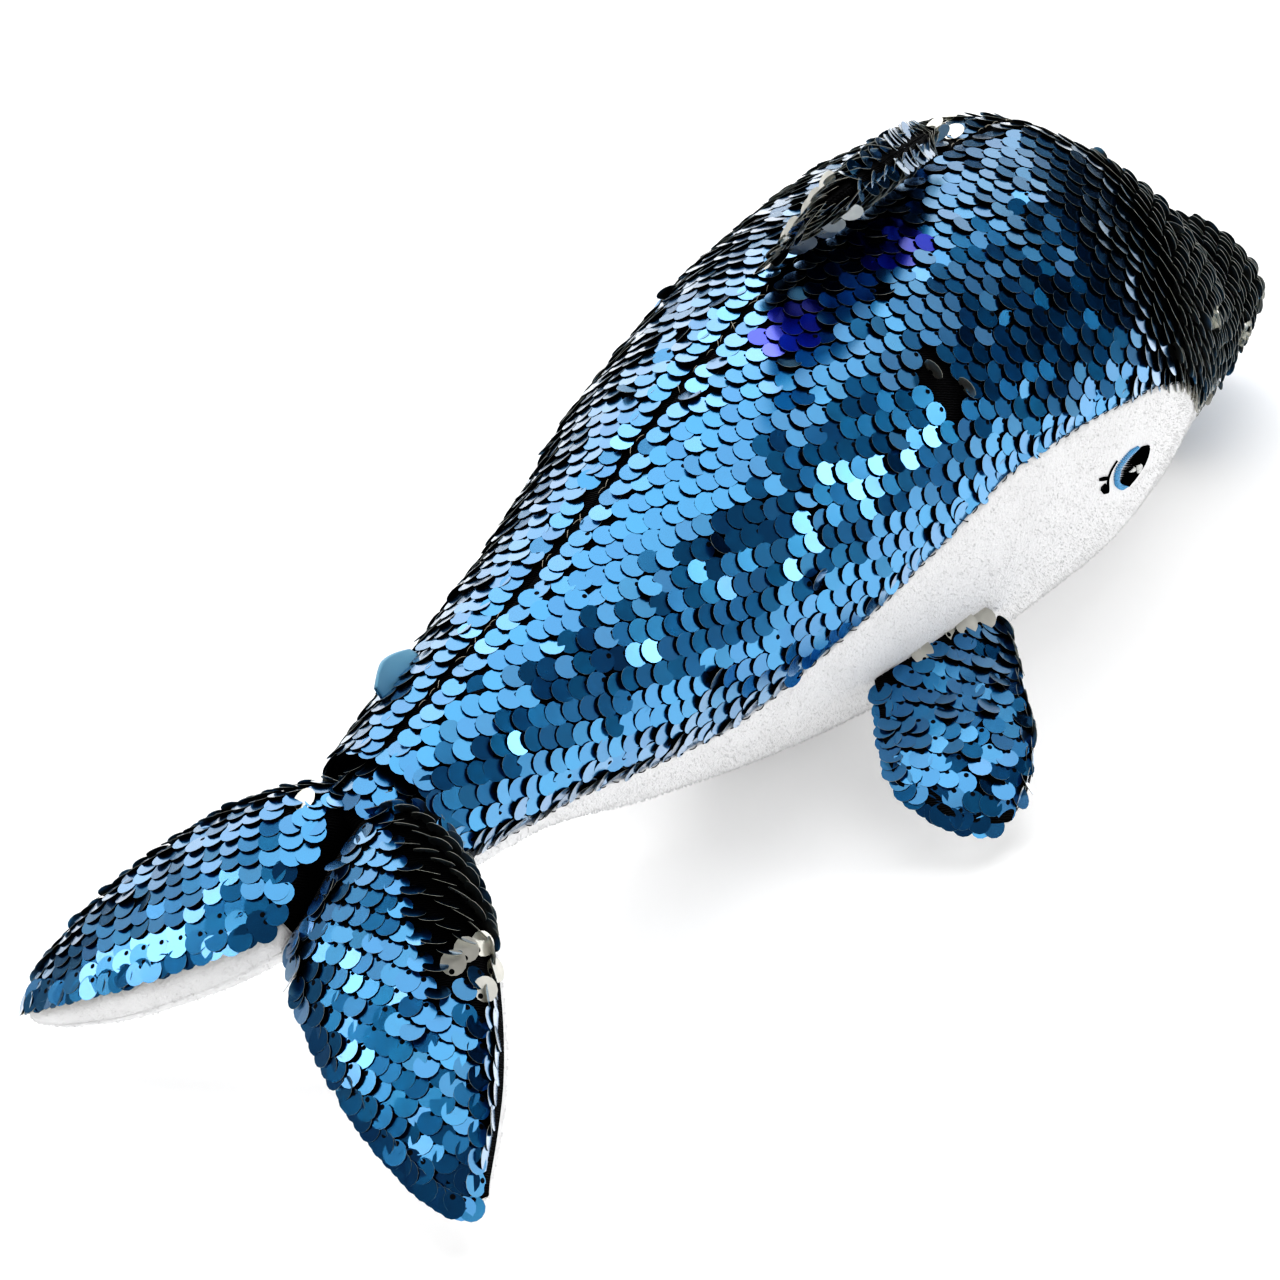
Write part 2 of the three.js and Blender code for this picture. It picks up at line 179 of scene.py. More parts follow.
def grid_quads(rows: int, columns: int, start: int = 0, ring: bool = False) -> Array:
    """Corner numbers of the quads in a grid of points stored row by row.

    Args:
        rows: How many rows the grid has.
        columns: How many points each row has.
        start: The number of the grid's first point.
        ring: Whether each row closes on itself.

    Returns:
        One row of four corner numbers for each quad.
    """
    number = start + np.arange(rows * columns).reshape(rows, columns)
    if ring:
        number = np.column_stack([number, number[:, :1]])
    corners = [number[:-1, :-1], number[:-1, 1:], number[1:, 1:], number[1:, :-1]]
    return np.stack(corners, axis=-1).reshape(-1, 4)


def between(grid: Array, row: Array, column: Array, down: Array, across: Array) -> Array:
    """A grid's values between its points: in a straight line along each row, then between rows.

    Args:
        grid: The grid.
        row: The row before each place.
        column: The column before each place.
        down: Each place's share of the way to the next row.
        across: Its share of the way to the next column.

    Returns:
        The values there.
    """
    near = grid[row, column] * (1 - across) + grid[row, column + 1] * across
    far = grid[row + 1, column] * (1 - across) + grid[row + 1, column + 1] * across
    return near * (1 - down) + far * down


@dataclass
class Mesh:
    """Points and equal-sided faces on their way to becoming one piece.

    Attributes:
        points: Corner places, one row each.
        faces: Corner numbers, one row for each face.
        slots: The material slot of each face, or nothing where all are the first.
        tone: One number for each corner that a finish can read, or nothing.
        flat: Corner places on the cloth before sewing, for the UV map, or nothing.
    """

    points: Array
    faces: Array
    slots: Array | None = None
    tone: Array | None = None
    flat: Array | None = None

    def piece(self, name: str, finishes: list[Material], smooth: bool = True, tidy: bool = False) -> Object:
        """Makes the mesh an object in the scene.

        Args:
            name: The piece's name.
            finishes: The materials, in the order of the face slots.
            smooth: Whether the faces are shaded as one round surface.
            tidy: Whether equal corners are merged and the faces turned outwards.

        Returns:
            The new object, at the origin.
        """
        data = bpy.data.meshes.new(name)
        count, sides = self.faces.shape
        data.vertices.add(len(self.points))
        data.vertices.foreach_set("co", self.points.astype(np.float32).ravel())
        data.loops.add(count * sides)
        data.loops.foreach_set("vertex_index", self.faces.astype(np.int32).ravel())
        data.polygons.add(count)
        data.polygons.foreach_set("loop_start", np.arange(0, count * sides, sides, dtype=np.int32))
        if self.slots is not None:
            data.polygons.foreach_set("material_index", self.slots.astype(np.int32))
        data.polygons.foreach_set("use_smooth", np.full(count, smooth))
        if self.flat is not None:
            layer = data.uv_layers.new(name="cloth")
            layer.data.foreach_set("uv", self.flat[self.faces.ravel()].astype(np.float32).ravel())
        if self.tone is not None:
            layer = data.attributes.new("tone", "FLOAT", "POINT")
            layer.data.foreach_set("value", self.tone.astype(np.float32))
        data.update(calc_edges=True)
        if tidy:
            shell = bmesh.new()
            shell.from_mesh(data)
            bmesh.ops.remove_doubles(shell, verts=shell.verts, dist=1e-6)
            bmesh.ops.recalc_face_normals(shell, faces=shell.faces)
            shell.to_mesh(data)
            shell.free()
        for finish in finishes:
            data.materials.append(finish)
        return put(name, data)


def cloth_sheet(outer: Array, inner: Array, flat: Array | None = None) -> Mesh:
    """A closed sheet: an outer and an inner grid of the same size, joined along all four edges.

    Args:
        outer: The grid that shows.
        inner: The grid behind it.
        flat: The outer grid's places on the flat cloth, or nothing.

    Returns:
        The closed mesh.
    """
    rows, columns = outer.shape[:2]
    half = rows * columns
    number = np.arange(half).reshape(rows, columns)
    loop = np.concatenate([number[0], number[1:, -1], number[-1, -2::-1], number[-2:0:-1, 0]])
    ahead = np.roll(loop, -1)
    walls = np.column_stack([ahead, loop, loop + half, ahead + half])
    front = grid_quads(rows, columns)
    faces = np.concatenate([front, front[:, ::-1] + half, walls])
    places = None if flat is None else np.tile(flat.reshape(-1, 2), (2, 1))
    return Mesh(np.concatenate([outer.reshape(-1, 3), inner.reshape(-1, 3)]), faces, flat=places)


def thread_strands(paths: Array, radius: float, sides: int = 6) -> Mesh:
    """Round threads along paths, each drawn in to a point at both ends.

    A ring of points is carried along each path, square to it. The ring's radius follows the
    square root of a half circle over the path, so the thread is full until close to its ends.

    Args:
        paths: Points of each thread, one row of points for each thread.
        radius: Half the thread's thickness.
        sides: How many sides a thread has.

    Returns:
        All the threads as one mesh.
    """
    count, length = paths.shape[:2]
    along = unit(np.gradient(paths, axis=1))
    across = unit(np.cross(along, [0.31, 0.42, 0.85]))
    third = np.cross(along, across)
    turn = np.linspace(0, 2 * np.pi, sides, endpoint=False)
    share = np.linspace(-1, 1, length)
    size = radius * np.clip(1 - share**6, 0, 1) ** 0.5
    ring = across[:, :, None] * np.cos(turn)[:, None] + third[:, :, None] * np.sin(turn)[:, None]
    points = paths[:, :, None] + ring * size[:, None, None]
    quads = grid_quads(length, sides, ring=True)
    start = np.arange(count)[:, None, None] * length * sides
    return Mesh(points.reshape(-1, 3), (quads[None] + start).reshape(-1, 4))


class Nodes:
    """A short way to lay out one material's nodes."""

    def __init__(self, name: str, **values: float | tuple[float, ...]) -> None:
        """Starts a material with one Principled shader on its output.

        Args:
            name: The material's name.
            values: The shader's own values by socket name, with _ for a space.
        """
        self.material = bpy.data.materials.new(name)
        self.material.use_nodes = True
        self.tree = self.material.node_tree
        self.tree.nodes.clear()
        output = self.tree.nodes.new("ShaderNodeOutputMaterial")
        self.shader = self.tree.nodes.new("ShaderNodeBsdfPrincipled")
        self.tree.links.new(self.shader.outputs[0], output.inputs[0])
        for socket, value in values.items():
            self.shader.inputs[socket.replace("_", " ")].default_value = value

    def add(self, kind: str, settings: dict[str, object] | None = None, **sockets: object) -> Node:
        """Adds a node, sets it up and joins what feeds it.

        Args:
            kind: The node's type, without its ShaderNode prefix.
            settings: The node's own properties.
            sockets: Values or feeding sockets by input name, with _ for a space.

        Returns:
            The new node.
        """
        node = self.tree.nodes.new("ShaderNode" + kind)
        for name, value in (settings or {}).items():
            setattr(node, name, value)
        for name, value in sockets.items():
            socket = node.inputs[name.replace("_", " ")]
            if isinstance(value, NodeSocket):
                self.tree.links.new(value, socket)
            else:
                socket.default_value = value
        return node

    def feed(self, socket: str, source: NodeSocket) -> None:
        """Joins a node's output to one of the shader's sockets."""
        self.tree.links.new(source, self.shader.inputs[socket])

    def place(self) -> NodeSocket:
        """The socket that gives a point's place on the object."""
        return self.add("TexCoord").outputs["Object"]

    def noise(self, scale: float, detail: float = 3.0) -> NodeSocket:
        """A cloud of values from 0 to 1, with about so many patches to the metre."""
        node = self.add("TexNoise", Vector=self.place(), Scale=scale, Detail=detail)
        return node.outputs["Fac"]

    def paint(self, factor: NodeSocket, stops: list[tuple[float, Colour]]) -> None:
        """Gives the shader a colour that runs straight from stop to stop.

        Args:
            factor: A number from 0 to 1.
            stops: Places in that range, with the colour at each.
        """
        node = self.add("ValToRGB", Fac=factor)
        ramp = node.color_ramp
        while len(ramp.elements) < len(stops):
            ramp.elements.new(0.5)
        for element, (place, colour) in zip(ramp.elements, stops):
            element.position = place
            element.color = (*colour, 1.0)
        self.feed("Base Color", node.outputs["Color"])

    def dull(self, factor: NodeSocket, low: float, high: float) -> None:
        """Gives the shader a roughness from low to high, as the factor goes from 0 to 1."""
        node = self.add("MapRange", Value=factor, To_Min=low, To_Max=high)
        self.feed("Roughness", node.outputs["Result"])

    def relief(self, height: NodeSocket, depth: float, strength: float = 1.0) -> None:
        """Gives the shader a bumped surface of that depth."""
        node = self.add("Bump", Height=height, Distance=depth, Strength=strength)
        self.feed("Normal", node.outputs["Normal"])


@dataclass(frozen=True)
class SequinFinish:
    """The finishes of a sequin: blue front, pale metal back, clear plastic rim and thread knot.

    Attributes:
        deep: Colour of the darkest fronts.
        bright: Colour of the palest fronts.
        violet: Painted reflection: the purplish blue given to fronts beside the fin's shadow, for the light
            that the blue sequins they face bounce onto them.
        back: Colour of the reverse.
        rim: Colour of the cut edge.
        knot: Colour of the thread in the hole.
        gloss: Least and greatest roughness of the fronts.
    """

    deep: Colour = (0.004, 0.135, 0.33)
    bright: Colour = (0.007, 0.185, 0.40)
    violet: Colour = (0.004, 0.02, 0.42)
    back: Colour = (0.74, 0.73, 0.67)
    rim: Colour = (0.3, 0.3, 0.26)
    knot: Colour = (0.004, 0.004, 0.005)
    gloss: Pair = (0.2, 0.3)

    def front(self) -> Material:
        """Blue metallised film under clear plastic, each disc a little different.

        Returns:
            The material.
        """
        nodes = Nodes("sequin_front", Metallic=1.0, Coat_Weight=1.0, Coat_Roughness=0.18, Coat_IOR=1.65)
        tone = nodes.add("Attribute", {"attribute_name": "tone"}).outputs["Fac"]
        # The last stop is a painted reflection: the purplish tone of fronts lit by light bounced from
        # neighbouring sequins.
        stops = [(0.0, self.deep), (0.84, self.bright), (0.92, self.violet)]
        nodes.paint(tone, stops)
        nodes.dull(nodes.noise(420.0), *self.gloss)
        nodes.relief(nodes.noise(110.0, 0.0), 0.3 * MM, 0.18)
        return nodes.material

    def reverse(self) -> Material:
        """Pale champagne metal.

        Returns:
            The material.
        """
        nodes = Nodes("sequin_back", Metallic=1.0)
        shade = nodes.noise(300.0)
        nodes.paint(shade, [(0.3, shaded(self.back, 0.8)), (0.7, self.back)])
        nodes.dull(shade, 0.34, 0.5)
        return nodes.material

    def edge(self) -> Material:
        """The cut rim, where the plastic shows grey.

        Returns:
            The material.
        """
        nodes = Nodes("sequin_rim", Roughness=0.45)
        nodes.paint(nodes.noise(900.0), [(0.3, shaded(self.rim, 0.5)), (0.7, self.rim)])
        return nodes.material

    def thread(self) -> Material:
        """The black thread that fills the hole.

        Returns:
            The material.
        """
        nodes = Nodes("sequin_knot", Roughness=0.8, Specular_IOR_Level=0.2)
        nodes.paint(nodes.noise(2400.0), [(0.4, self.knot), (0.8, shaded(self.knot, 3))])
        return nodes.material

    def all(self) -> list[Material]:
        """Front, back, rim and knot, in the order of a disc's face slots."""
        return [self.front(), self.reverse(), self.edge(), self.thread()]


@dataclass(frozen=True)
class KnitFinish:
    """Black knitted backing cloth.

    Attributes:
        colour: The yarn's colour.
        glint: The colour of its lit loops.
        loop: The size of one knitted loop.
    """

    colour: Colour = (0.002, 0.002, 0.0025)
    glint: Colour = (0.012, 0.012, 0.014)
    loop: float = 0.5 * MM

    def material(self) -> Material:
        """Fine loops in crossing waves, lit a little along their tops.

        Returns:
            The material.
        """
        nodes = Nodes("black_knit", Sheen_Weight=0.02, Specular_IOR_Level=0.15)
        settings = {"wave_type": "BANDS", "bands_direction": "DIAGONAL"}
        wave = nodes.add("TexWave", settings, Vector=nodes.place(), Scale=0.35 / self.loop,
                         Distortion=3.0, Detail=2.0, Detail_Scale=2.0)
        loops = wave.outputs["Fac"]
        nodes.paint(loops, [(0.35, self.colour), (0.95, self.glint)])
        nodes.dull(loops, 0.95, 0.7)
        nodes.relief(loops, 0.25 * MM)
        return nodes.material


@dataclass(frozen=True)
class PlushFinish:
    """White short-pile plush.

    Attributes:
        shade: The colour between the tufts.
        tip: The colour of the tufts.
    """

    shade: Colour = (0.88, 0.88, 0.885)
    tip: Colour = (0.93, 0.93, 0.935)

    def material(self, name: str = "white_plush", bumped: bool = True) -> Material:
        """Soft matt pile, brushed into faint patches.

        Args:
            name: The material's name.
            bumped: Whether the pile is drawn as relief, for cloth without modelled tufts on it.

        Returns:
            The material.
        """
        nodes = Nodes(name, Sheen_Weight=0.35, Sheen_Roughness=0.6, Specular_IOR_Level=0.1)
        patches = nodes.noise(130.0, 4.0)
        nodes.paint(patches, [(0.28, self.shade), (0.72, self.tip)])
        nodes.dull(patches, 0.9, 1.0)
        if bumped:
            nodes.relief(nodes.noise(1500.0, 5.0), 0.5 * MM, 0.6)
        return nodes.material


@dataclass(frozen=True)
class ThreadFinish:
    """Shiny embroidery or sewing thread of one colour.

    Attributes:
        name: The material's name.
        colour: The thread's lit colour.
        roughness: How dull the thread is.
        sheen: How much soft light its fibres catch.
    """

    name: str
    colour: Colour
    roughness: float = 0.45
    sheen: float = 0.2

    def material(self) -> Material:
        """Fine twisted plies, with painted shade darkening the thread between them.

        Returns:
            The material.
        """
        nodes = Nodes(self.name, Sheen_Weight=self.sheen, Specular_IOR_Level=self.sheen)
        plies = nodes.noise(2600.0, 2.0)
        # The darker stop is painted shade between the plies.
        nodes.paint(plies, [(0.35, shaded(self.colour, 0.55)), (0.6, self.colour)])
        nodes.dull(plies, self.roughness, self.roughness + 0.25)
        nodes.relief(plies, 0.08 * MM)
        return nodes.material


@dataclass(frozen=True)
class SatinFinish:
    """Thin blue satin ribbon.

    Attributes:
        colour: The ribbon's colour.
        shade: Its colour between the ribs.
    """

    colour: Colour = (0.16, 0.42, 0.62)
    shade: Colour = (0.10, 0.31, 0.50)

    def material(self) -> Material:
        """Fine ribs across the ribbon, a little see-through.

        Returns:
            The material.
        """
        nodes = Nodes("satin_ribbon", Transmission_Weight=0.15, Sheen_Weight=0.3)
        ribs = nodes.add("TexWave", {"bands_direction": "Z"}, Vector=nodes.place(), Scale=2200.0,
                         Distortion=0.6).outputs["Fac"]
        nodes.paint(ribs, [(0.2, self.shade), (0.8, self.colour)])
        nodes.dull(ribs, 0.38, 0.55)
        nodes.relief(ribs, 0.05 * MM)
        return nodes.material


@dataclass
class Finishes:
    """Every finish of the toy, made once."""

    sequin: list[Material] = field(default_factory=SequinFinish().all)
    knit: Material = field(default_factory=KnitFinish().material)
    plush: Material = field(default_factory=PlushFinish().material)
    pile: Material = field(default_factory=lambda: PlushFinish().material("plush_pile", bumped=False))
    black: Material = field(
        default_factory=ThreadFinish("black_thread", (0.006, 0.006, 0.006), 0.7, 0.0).material)
    white: Material = field(default_factory=ThreadFinish("white_thread", (0.85, 0.86, 0.84)).material)
    blue: Material = field(default_factory=ThreadFinish("blue_thread", (0.13, 0.42, 0.78)).material)
    clear: Material = field(
        default_factory=ThreadFinish("clear_thread", (0.30, 0.28, 0.23), 0.25).material)
    satin: Material = field(default_factory=SatinFinish().material)


class Patch:
    """A piece of cloth as sewn: a grid of points with its own flat coordinates.

    A point on the flat cloth is (s, y): s is the distance along a guide column and y the
    distance across the row from that column, both measured on the sewn surface.
    """

    def __init__(self, points: Array, inside: Array, guide: int) -> None:
        """Measures the grid.

        Args:
            points: The grid of points.
            inside: A point behind each row, or one for all, that the surface faces away from.
            guide: The column that s runs along and y starts from.
        """
        self.points = points
        step_down = np.gradient(points, axis=0)
        step_across = np.gradient(points, axis=1)
        normal = np.cross(step_down, step_across)
        facing = np.sum(normal * (points - inside))
        self.normals = unit(normal * np.sign(facing))
        lengths = np.linalg.norm(np.diff(points[:, guide], axis=0), axis=1)
        self.s = np.concatenate([[0], np.cumsum(lengths)])
        widths = np.linalg.norm(np.diff(points, axis=1), axis=2)
        self.y = np.concatenate([np.zeros((len(points), 1)), np.cumsum(widths, axis=1)], axis=1)
        self.y -= self.y[:, [guide]]

    def flat(self) -> Array:
        """The grid's own places on the flat cloth."""
        return np.stack([np.broadcast_to(self.s[:, None], self.y.shape), self.y], axis=-1)

    def sunk(self, depth: float) -> Array:
        """The grid moved straight in by a depth."""
        return self.points - depth * self.normals

    def row_of(self, s: Array) -> Array:
        """Row numbers, with fractions, of places along the guide."""
        return np.interp(s, self.s, np.arange(len(self.s)))

    def locate(self, s: Array, y: Array) -> dict[str, Array]:
        """Finds places of the flat cloth on the sewn surface, by interpolating in its grid.

        Args:
            s: Distances along the guide.
            y: Distances across from the guide.

        Returns:
            point, normal, along (rising s) and across (rising y) of each place, each square to
            the others, its row and column numbers, and low and high, the row's ends in y.
        """
        row = self.row_of(s)
        first = np.clip(row.astype(int), 0, len(self.s) - 2)
        part = (row - first)[:, None]
        line = self.y[first] * (1 - part) + self.y[first + 1] * part
        column = np.clip((line <= y[:, None]).sum(1) - 1, 0, line.shape[1] - 2)
        pick = np.arange(len(s))
        width = np.maximum(line[pick, column + 1] - line[pick, column], 1e-9)
        share = np.clip((y - line[pick, column]) / width, 0, 1)[:, None]
        normal = unit(between(self.normals, first, column, part, share))
        across = self.points[first, column + 1] - self.points[first, column]
        across = unit(across - normal * np.sum(across * normal, axis=1, keepdims=True))
        ahead = self.points[first + 1, column] - self.points[first, column]
        along = np.cross(normal, across)
        along *= np.sign(np.sum(along * ahead, axis=1, keepdims=True))
        return {
            "point": between(self.points, first, column, part, share),
            "normal": normal, "along": along, "across": across,
            "row": row, "column": column + share[:, 0], "low": line[:, 0], "high": line[:, -1],
        }

    def scatter(self, count: int, chance: Generator) -> tuple[Array, Array]:
        """Random places spread evenly over the sewn surface.

        Args:
            count: How many places.
            chance: The seeded random numbers.

        Returns:
            The places' points and normals.
        """
        side = np.diff(self.points, axis=0)[:, :-1]
        top = np.diff(self.points, axis=1)[:-1]
        area = np.linalg.norm(np.cross(side, top), axis=2)
        cell = chance.choice(area.size, count, p=area.ravel() / area.sum())
        place = (*np.divmod(cell, area.shape[1]), *chance.random((2, count, 1)))
        return between(self.points, *place), unit(between(self.normals, *place))


@dataclass
class Lie:
    """How the sequins lie on one piece of cloth.

    Attributes:
        heading: Degrees from rising s towards rising y that the free edges point.
        bend: How fast that heading turns across the cloth, per metre.
        bend_about: The y at which the heading is as given.
        lift: Degrees that a free edge stands off the cloth.
    """

    heading: float
    bend: float = 0.0
    bend_about: float = 0.0
    lift: float = 8.0


@dataclass
class SequinRows:
    """Rows of flip sequins, each a washer held by a thread through a hole near its front edge.

    Attributes:
        radius: Half a sequin's width.
        thickness: A sequin's thickness.
        hole: Half the hole's width.
        hole_reach: From the sequin's middle to its hole.
        sides: How many corners a sequin's outline has.
        row_pitch: From row to row.
        pitch: From sequin to sequin in a row.
        stray: Usual stray in degrees of pitch, roll and heading.
        wild: Share of sequins that stray three times as far.
        sink: How far the holes lie below the cloth's outer face.
    """

    radius: float = 2.6 * MM
    thickness: float = 0.12 * MM
    hole: float = 0.55 * MM
    hole_reach: float = 1.75 * MM
    sides: int = 14
    row_pitch: float = 3.65 * MM
    pitch: float = 4.85 * MM
    stray: tuple[float, float, float] = (3.0, 4.0, 5.5)
    wild: float = 0.08
    sink: float = 0.6 * MM

    def washer(self) -> tuple[Array, Array, Array]:
        """One sequin about its hole: x to the free edge, y sideways and z to its front.

        An outer circle and the hole's circle, each on the front and on the back, are joined by
        a ring of quads on the front, the back and the rim. Strips of quads across both circles
        of the hole are the thread that fills it.

        Returns:
            Corner places, corner numbers of the faces, and the faces' material slots.
        """
        turn = np.linspace(0, 2 * np.pi, self.sides, endpoint=False)
        circle = np.column_stack([np.cos(turn), np.sin(turn), np.zeros(self.sides)])
        middle = np.array([self.hole_reach, 0, 0])
        up = np.array([0, 0, self.thickness / 2])
        outer, bore = self.radius * circle + middle, self.hole * circle
        points = np.concatenate([outer + up, bore + up, outer - up, bore - up])
        ring = np.arange(self.sides)
        ahead = np.roll(ring, -1)
        front, front_bore, back, back_bore = (ring + k * self.sides for k in range(4))
        front_on, front_bore_on, back_on, back_bore_on = (ahead + k * self.sides for k in range(4))
        near = np.arange(self.sides // 2 - 1)
        strip = np.column_stack([near, near + 1, self.sides - 2 - near, self.sides - 1 - near])
        faces = np.concatenate([
            np.column_stack([front, front_on, front_bore_on, front_bore]),
            np.column_stack([back_on, back, back_bore, back_bore_on]),
            np.column_stack([back, back_on, front_on, front]),
            strip + self.sides, strip[:, ::-1] + 3 * self.sides,
        ])
        slots = np.repeat([0, 1, 2, 3], [self.sides, self.sides, self.sides, 2 * len(strip)])
        return points, faces, slots

    def lattice(self, patch: Patch, lie: Lie) -> tuple[Array, Array, Array]:
        """Staggered rows over a whole piece of flat cloth, square to the way the sequins lie.

        Rows are level lines of the distance along the heading, bent into parabolas where the
        heading turns across the cloth.

        Args:
            patch: The cloth.
            lie: How the sequins lie on it.

        Returns:
            The holes' places s and y, and each one's heading as a row of two shares.
        """
        turn = np.radians(lie.heading)
        forth = np.array([np.cos(turn), np.sin(turn)])
        reach = np.hypot(np.ptp(patch.s), np.ptp(patch.y)) + abs(lie.bend) * np.ptp(patch.y) ** 2
        rows = np.arange(-reach, reach, self.row_pitch)
        columns = np.arange(-reach, reach, self.pitch)
        ahead, beside = np.meshgrid(rows, columns, indexing="ij")
        beside = beside + (np.arange(len(rows)) % 2)[:, None] * self.pitch / 2
        s = forth[0] * ahead - forth[1] * beside
        y = forth[1] * ahead + forth[0] * beside
        s, y = s.ravel(), y.ravel()
        off = lie.bend * (y - lie.bend_about)
        s = s - off * (y - lie.bend_about) / 2
        heading = np.column_stack([np.full(len(s), forth[0]), forth[1] + off * forth[0]])
        keep = (s >= patch.s[0]) & (s <= patch.s[-1])
        keep &= (y >= patch.y.min()) & (y <= patch.y.max())
        return s[keep], y[keep], unit(heading[keep])

    def mesh(self, found: dict[str, Array], heading: Array, lift: Array, chance: Generator,
             violet: Array | bool = False) -> Mesh:
        """Sets a sequin at each hole.

        Each sequin is turned about its hole: up by its lift, then sideways and round by its
        own stray. A lift over 90 degrees turns its back up.

        Args:
            found: The holes, as a patch finds them.
            heading: Where each free edge points on the flat cloth, as a row of two shares.
            lift: Degrees that each free edge is raised.
            chance: The seeded random numbers.
            violet: Which sequins take the painted reflection tone, the top of the fronts' colour ramp.

        Returns:
            All the sequins as one mesh.
        """
        way = found["along"] * heading[:, :1] + found["across"] * heading[:, 1:]
        normals, count = found["normal"], len(way)
        spread = np.where(chance.random((count, 1)) < self.wild, 3.0, 1.0)
        stray = np.radians(chance.normal(0, 1, (count, 3)) * spread * self.stray)
        pitch = (np.radians(lift) + stray[:, 0])[:, None]
        forth, up = rotated(way, normals, pitch)
        beside, up = rotated(np.cross(up, forth), up, stray[:, 1:2])
        forth, beside = rotated(forth, beside, stray[:, 2:])
        corner, faces, slots = self.washer()
        frames = np.stack([forth, beside, up], axis=1)
        holes = found["point"] - self.sink * normals
        places = holes[:, None] + np.einsum("vk,nkc->nvc", corner, frames)
        number = np.arange(count)[:, None, None] * len(corner)
        # Sequins marked for the painted reflection get the top tone; the rest get a random tone.
        tone = np.repeat(np.where(violet, 1.0, 0.84 * chance.random(count)), len(corner))
        return Mesh(places.reshape(-1, 3), (faces[None] + number).reshape(-1, 4),
                    np.tile(slots, count), tone)


@dataclass
class Pile:
    """Short tufts that stand on plush.

    Attributes:
        height: A tuft's length.
        width: Half a tuft's width at its foot.
        lean: How far tufts lean with the nap, as a share of their height.
        ruffle: How far they lean any way.
        density: Tufts to the square metre.
    """

    height: float = 0.6 * MM
    width: float = 0.24 * MM
    lean: float = 0.3
    ruffle: float = 0.3
    density: float = 620000.0

    def mesh(self, points: Array, normals: Array, nap: Array, chance: Generator) -> Mesh:
        """Three-sided tufts from foot to tip.

        Args:
            points: The tufts' feet.
            normals: The cloth's outward directions there.
            nap: The direction the pile is brushed.
            chance: The seeded random numbers.

        Returns:
            All the tufts as one mesh.
        """
        count = len(points)
        way = normals + self.lean * nap + self.ruffle * chance.normal(0, 0.6, (count, 3))
        tall = self.height * chance.uniform(0.6, 1.1, (count, 1))
        tip = points + unit(way) * tall
        tip[:, 2] = np.maximum(tip[:, 2], 0.1 * MM)
        across = unit(np.cross(normals, [0.27, 0.53, 0.8]))
        third = np.cross(normals, across)
        turn = np.radians([90, 210, 330])[None, :, None] + chance.uniform(0, 2, (count, 1, 1))
        feet = across[:, None] * np.cos(turn) + third[:, None] * np.sin(turn)
        feet = (points - 0.3 * MM * normals)[:, None] + self.width * feet
        corners = np.concatenate([feet, tip[:, None]], axis=1)
        sides = np.array([[0, 1, 3], [1, 2, 3], [2, 0, 3]])
        faces = sides[None] + 4 * np.arange(count)[:, None, None]
        return Mesh(corners.reshape(-1, 3), faces.reshape(-1, 3))


@dataclass
class Bench:
    """What every piece is made with.

    Attributes:
        finishes: The toy's finishes.
        rows: The sequins' sizes.
        pile: The plush tufts' sizes.
        chance: The seeded random numbers.
    """

    finishes: Finishes = field(default_factory=Finishes)
    rows: SequinRows = field(default_factory=SequinRows)
    pile: Pile = field(default_factory=Pile)
    chance: Generator = field(default_factory=lambda: default_rng(SEED))

    def strewn(self, *stray: float) -> "Bench":
        """The same bench, with sequins that stray so many degrees in pitch, roll and heading."""
        return replace(self, rows=replace(self.rows, stray=stray))


def dress(piece: Object, slot: str, *nodes: str, fill: float | None = None) -> None:
    """Hides the frame's nodes that a piece stands for, and logs the piece's face count.

    Args:
        piece: The piece.
        slot: The record's material slot that it takes its finish from; not used.
        nodes: The frame's nodes that it stands for.
        fill: How tightly it is stuffed, for a padded piece; not used.
    """
    if nodes:
        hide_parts(*nodes)
    LOG.info("%s: %d faces", piece.name, len(piece.data.polygons))


def sew(piece: Object, body: str, slot: str, *nodes: str, fill: float | None = None) -> None:
    """Hangs a finished piece on the body that it moves with, and dresses it."""
    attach(piece, body)
    dress(piece, slot, *nodes, fill=fill)


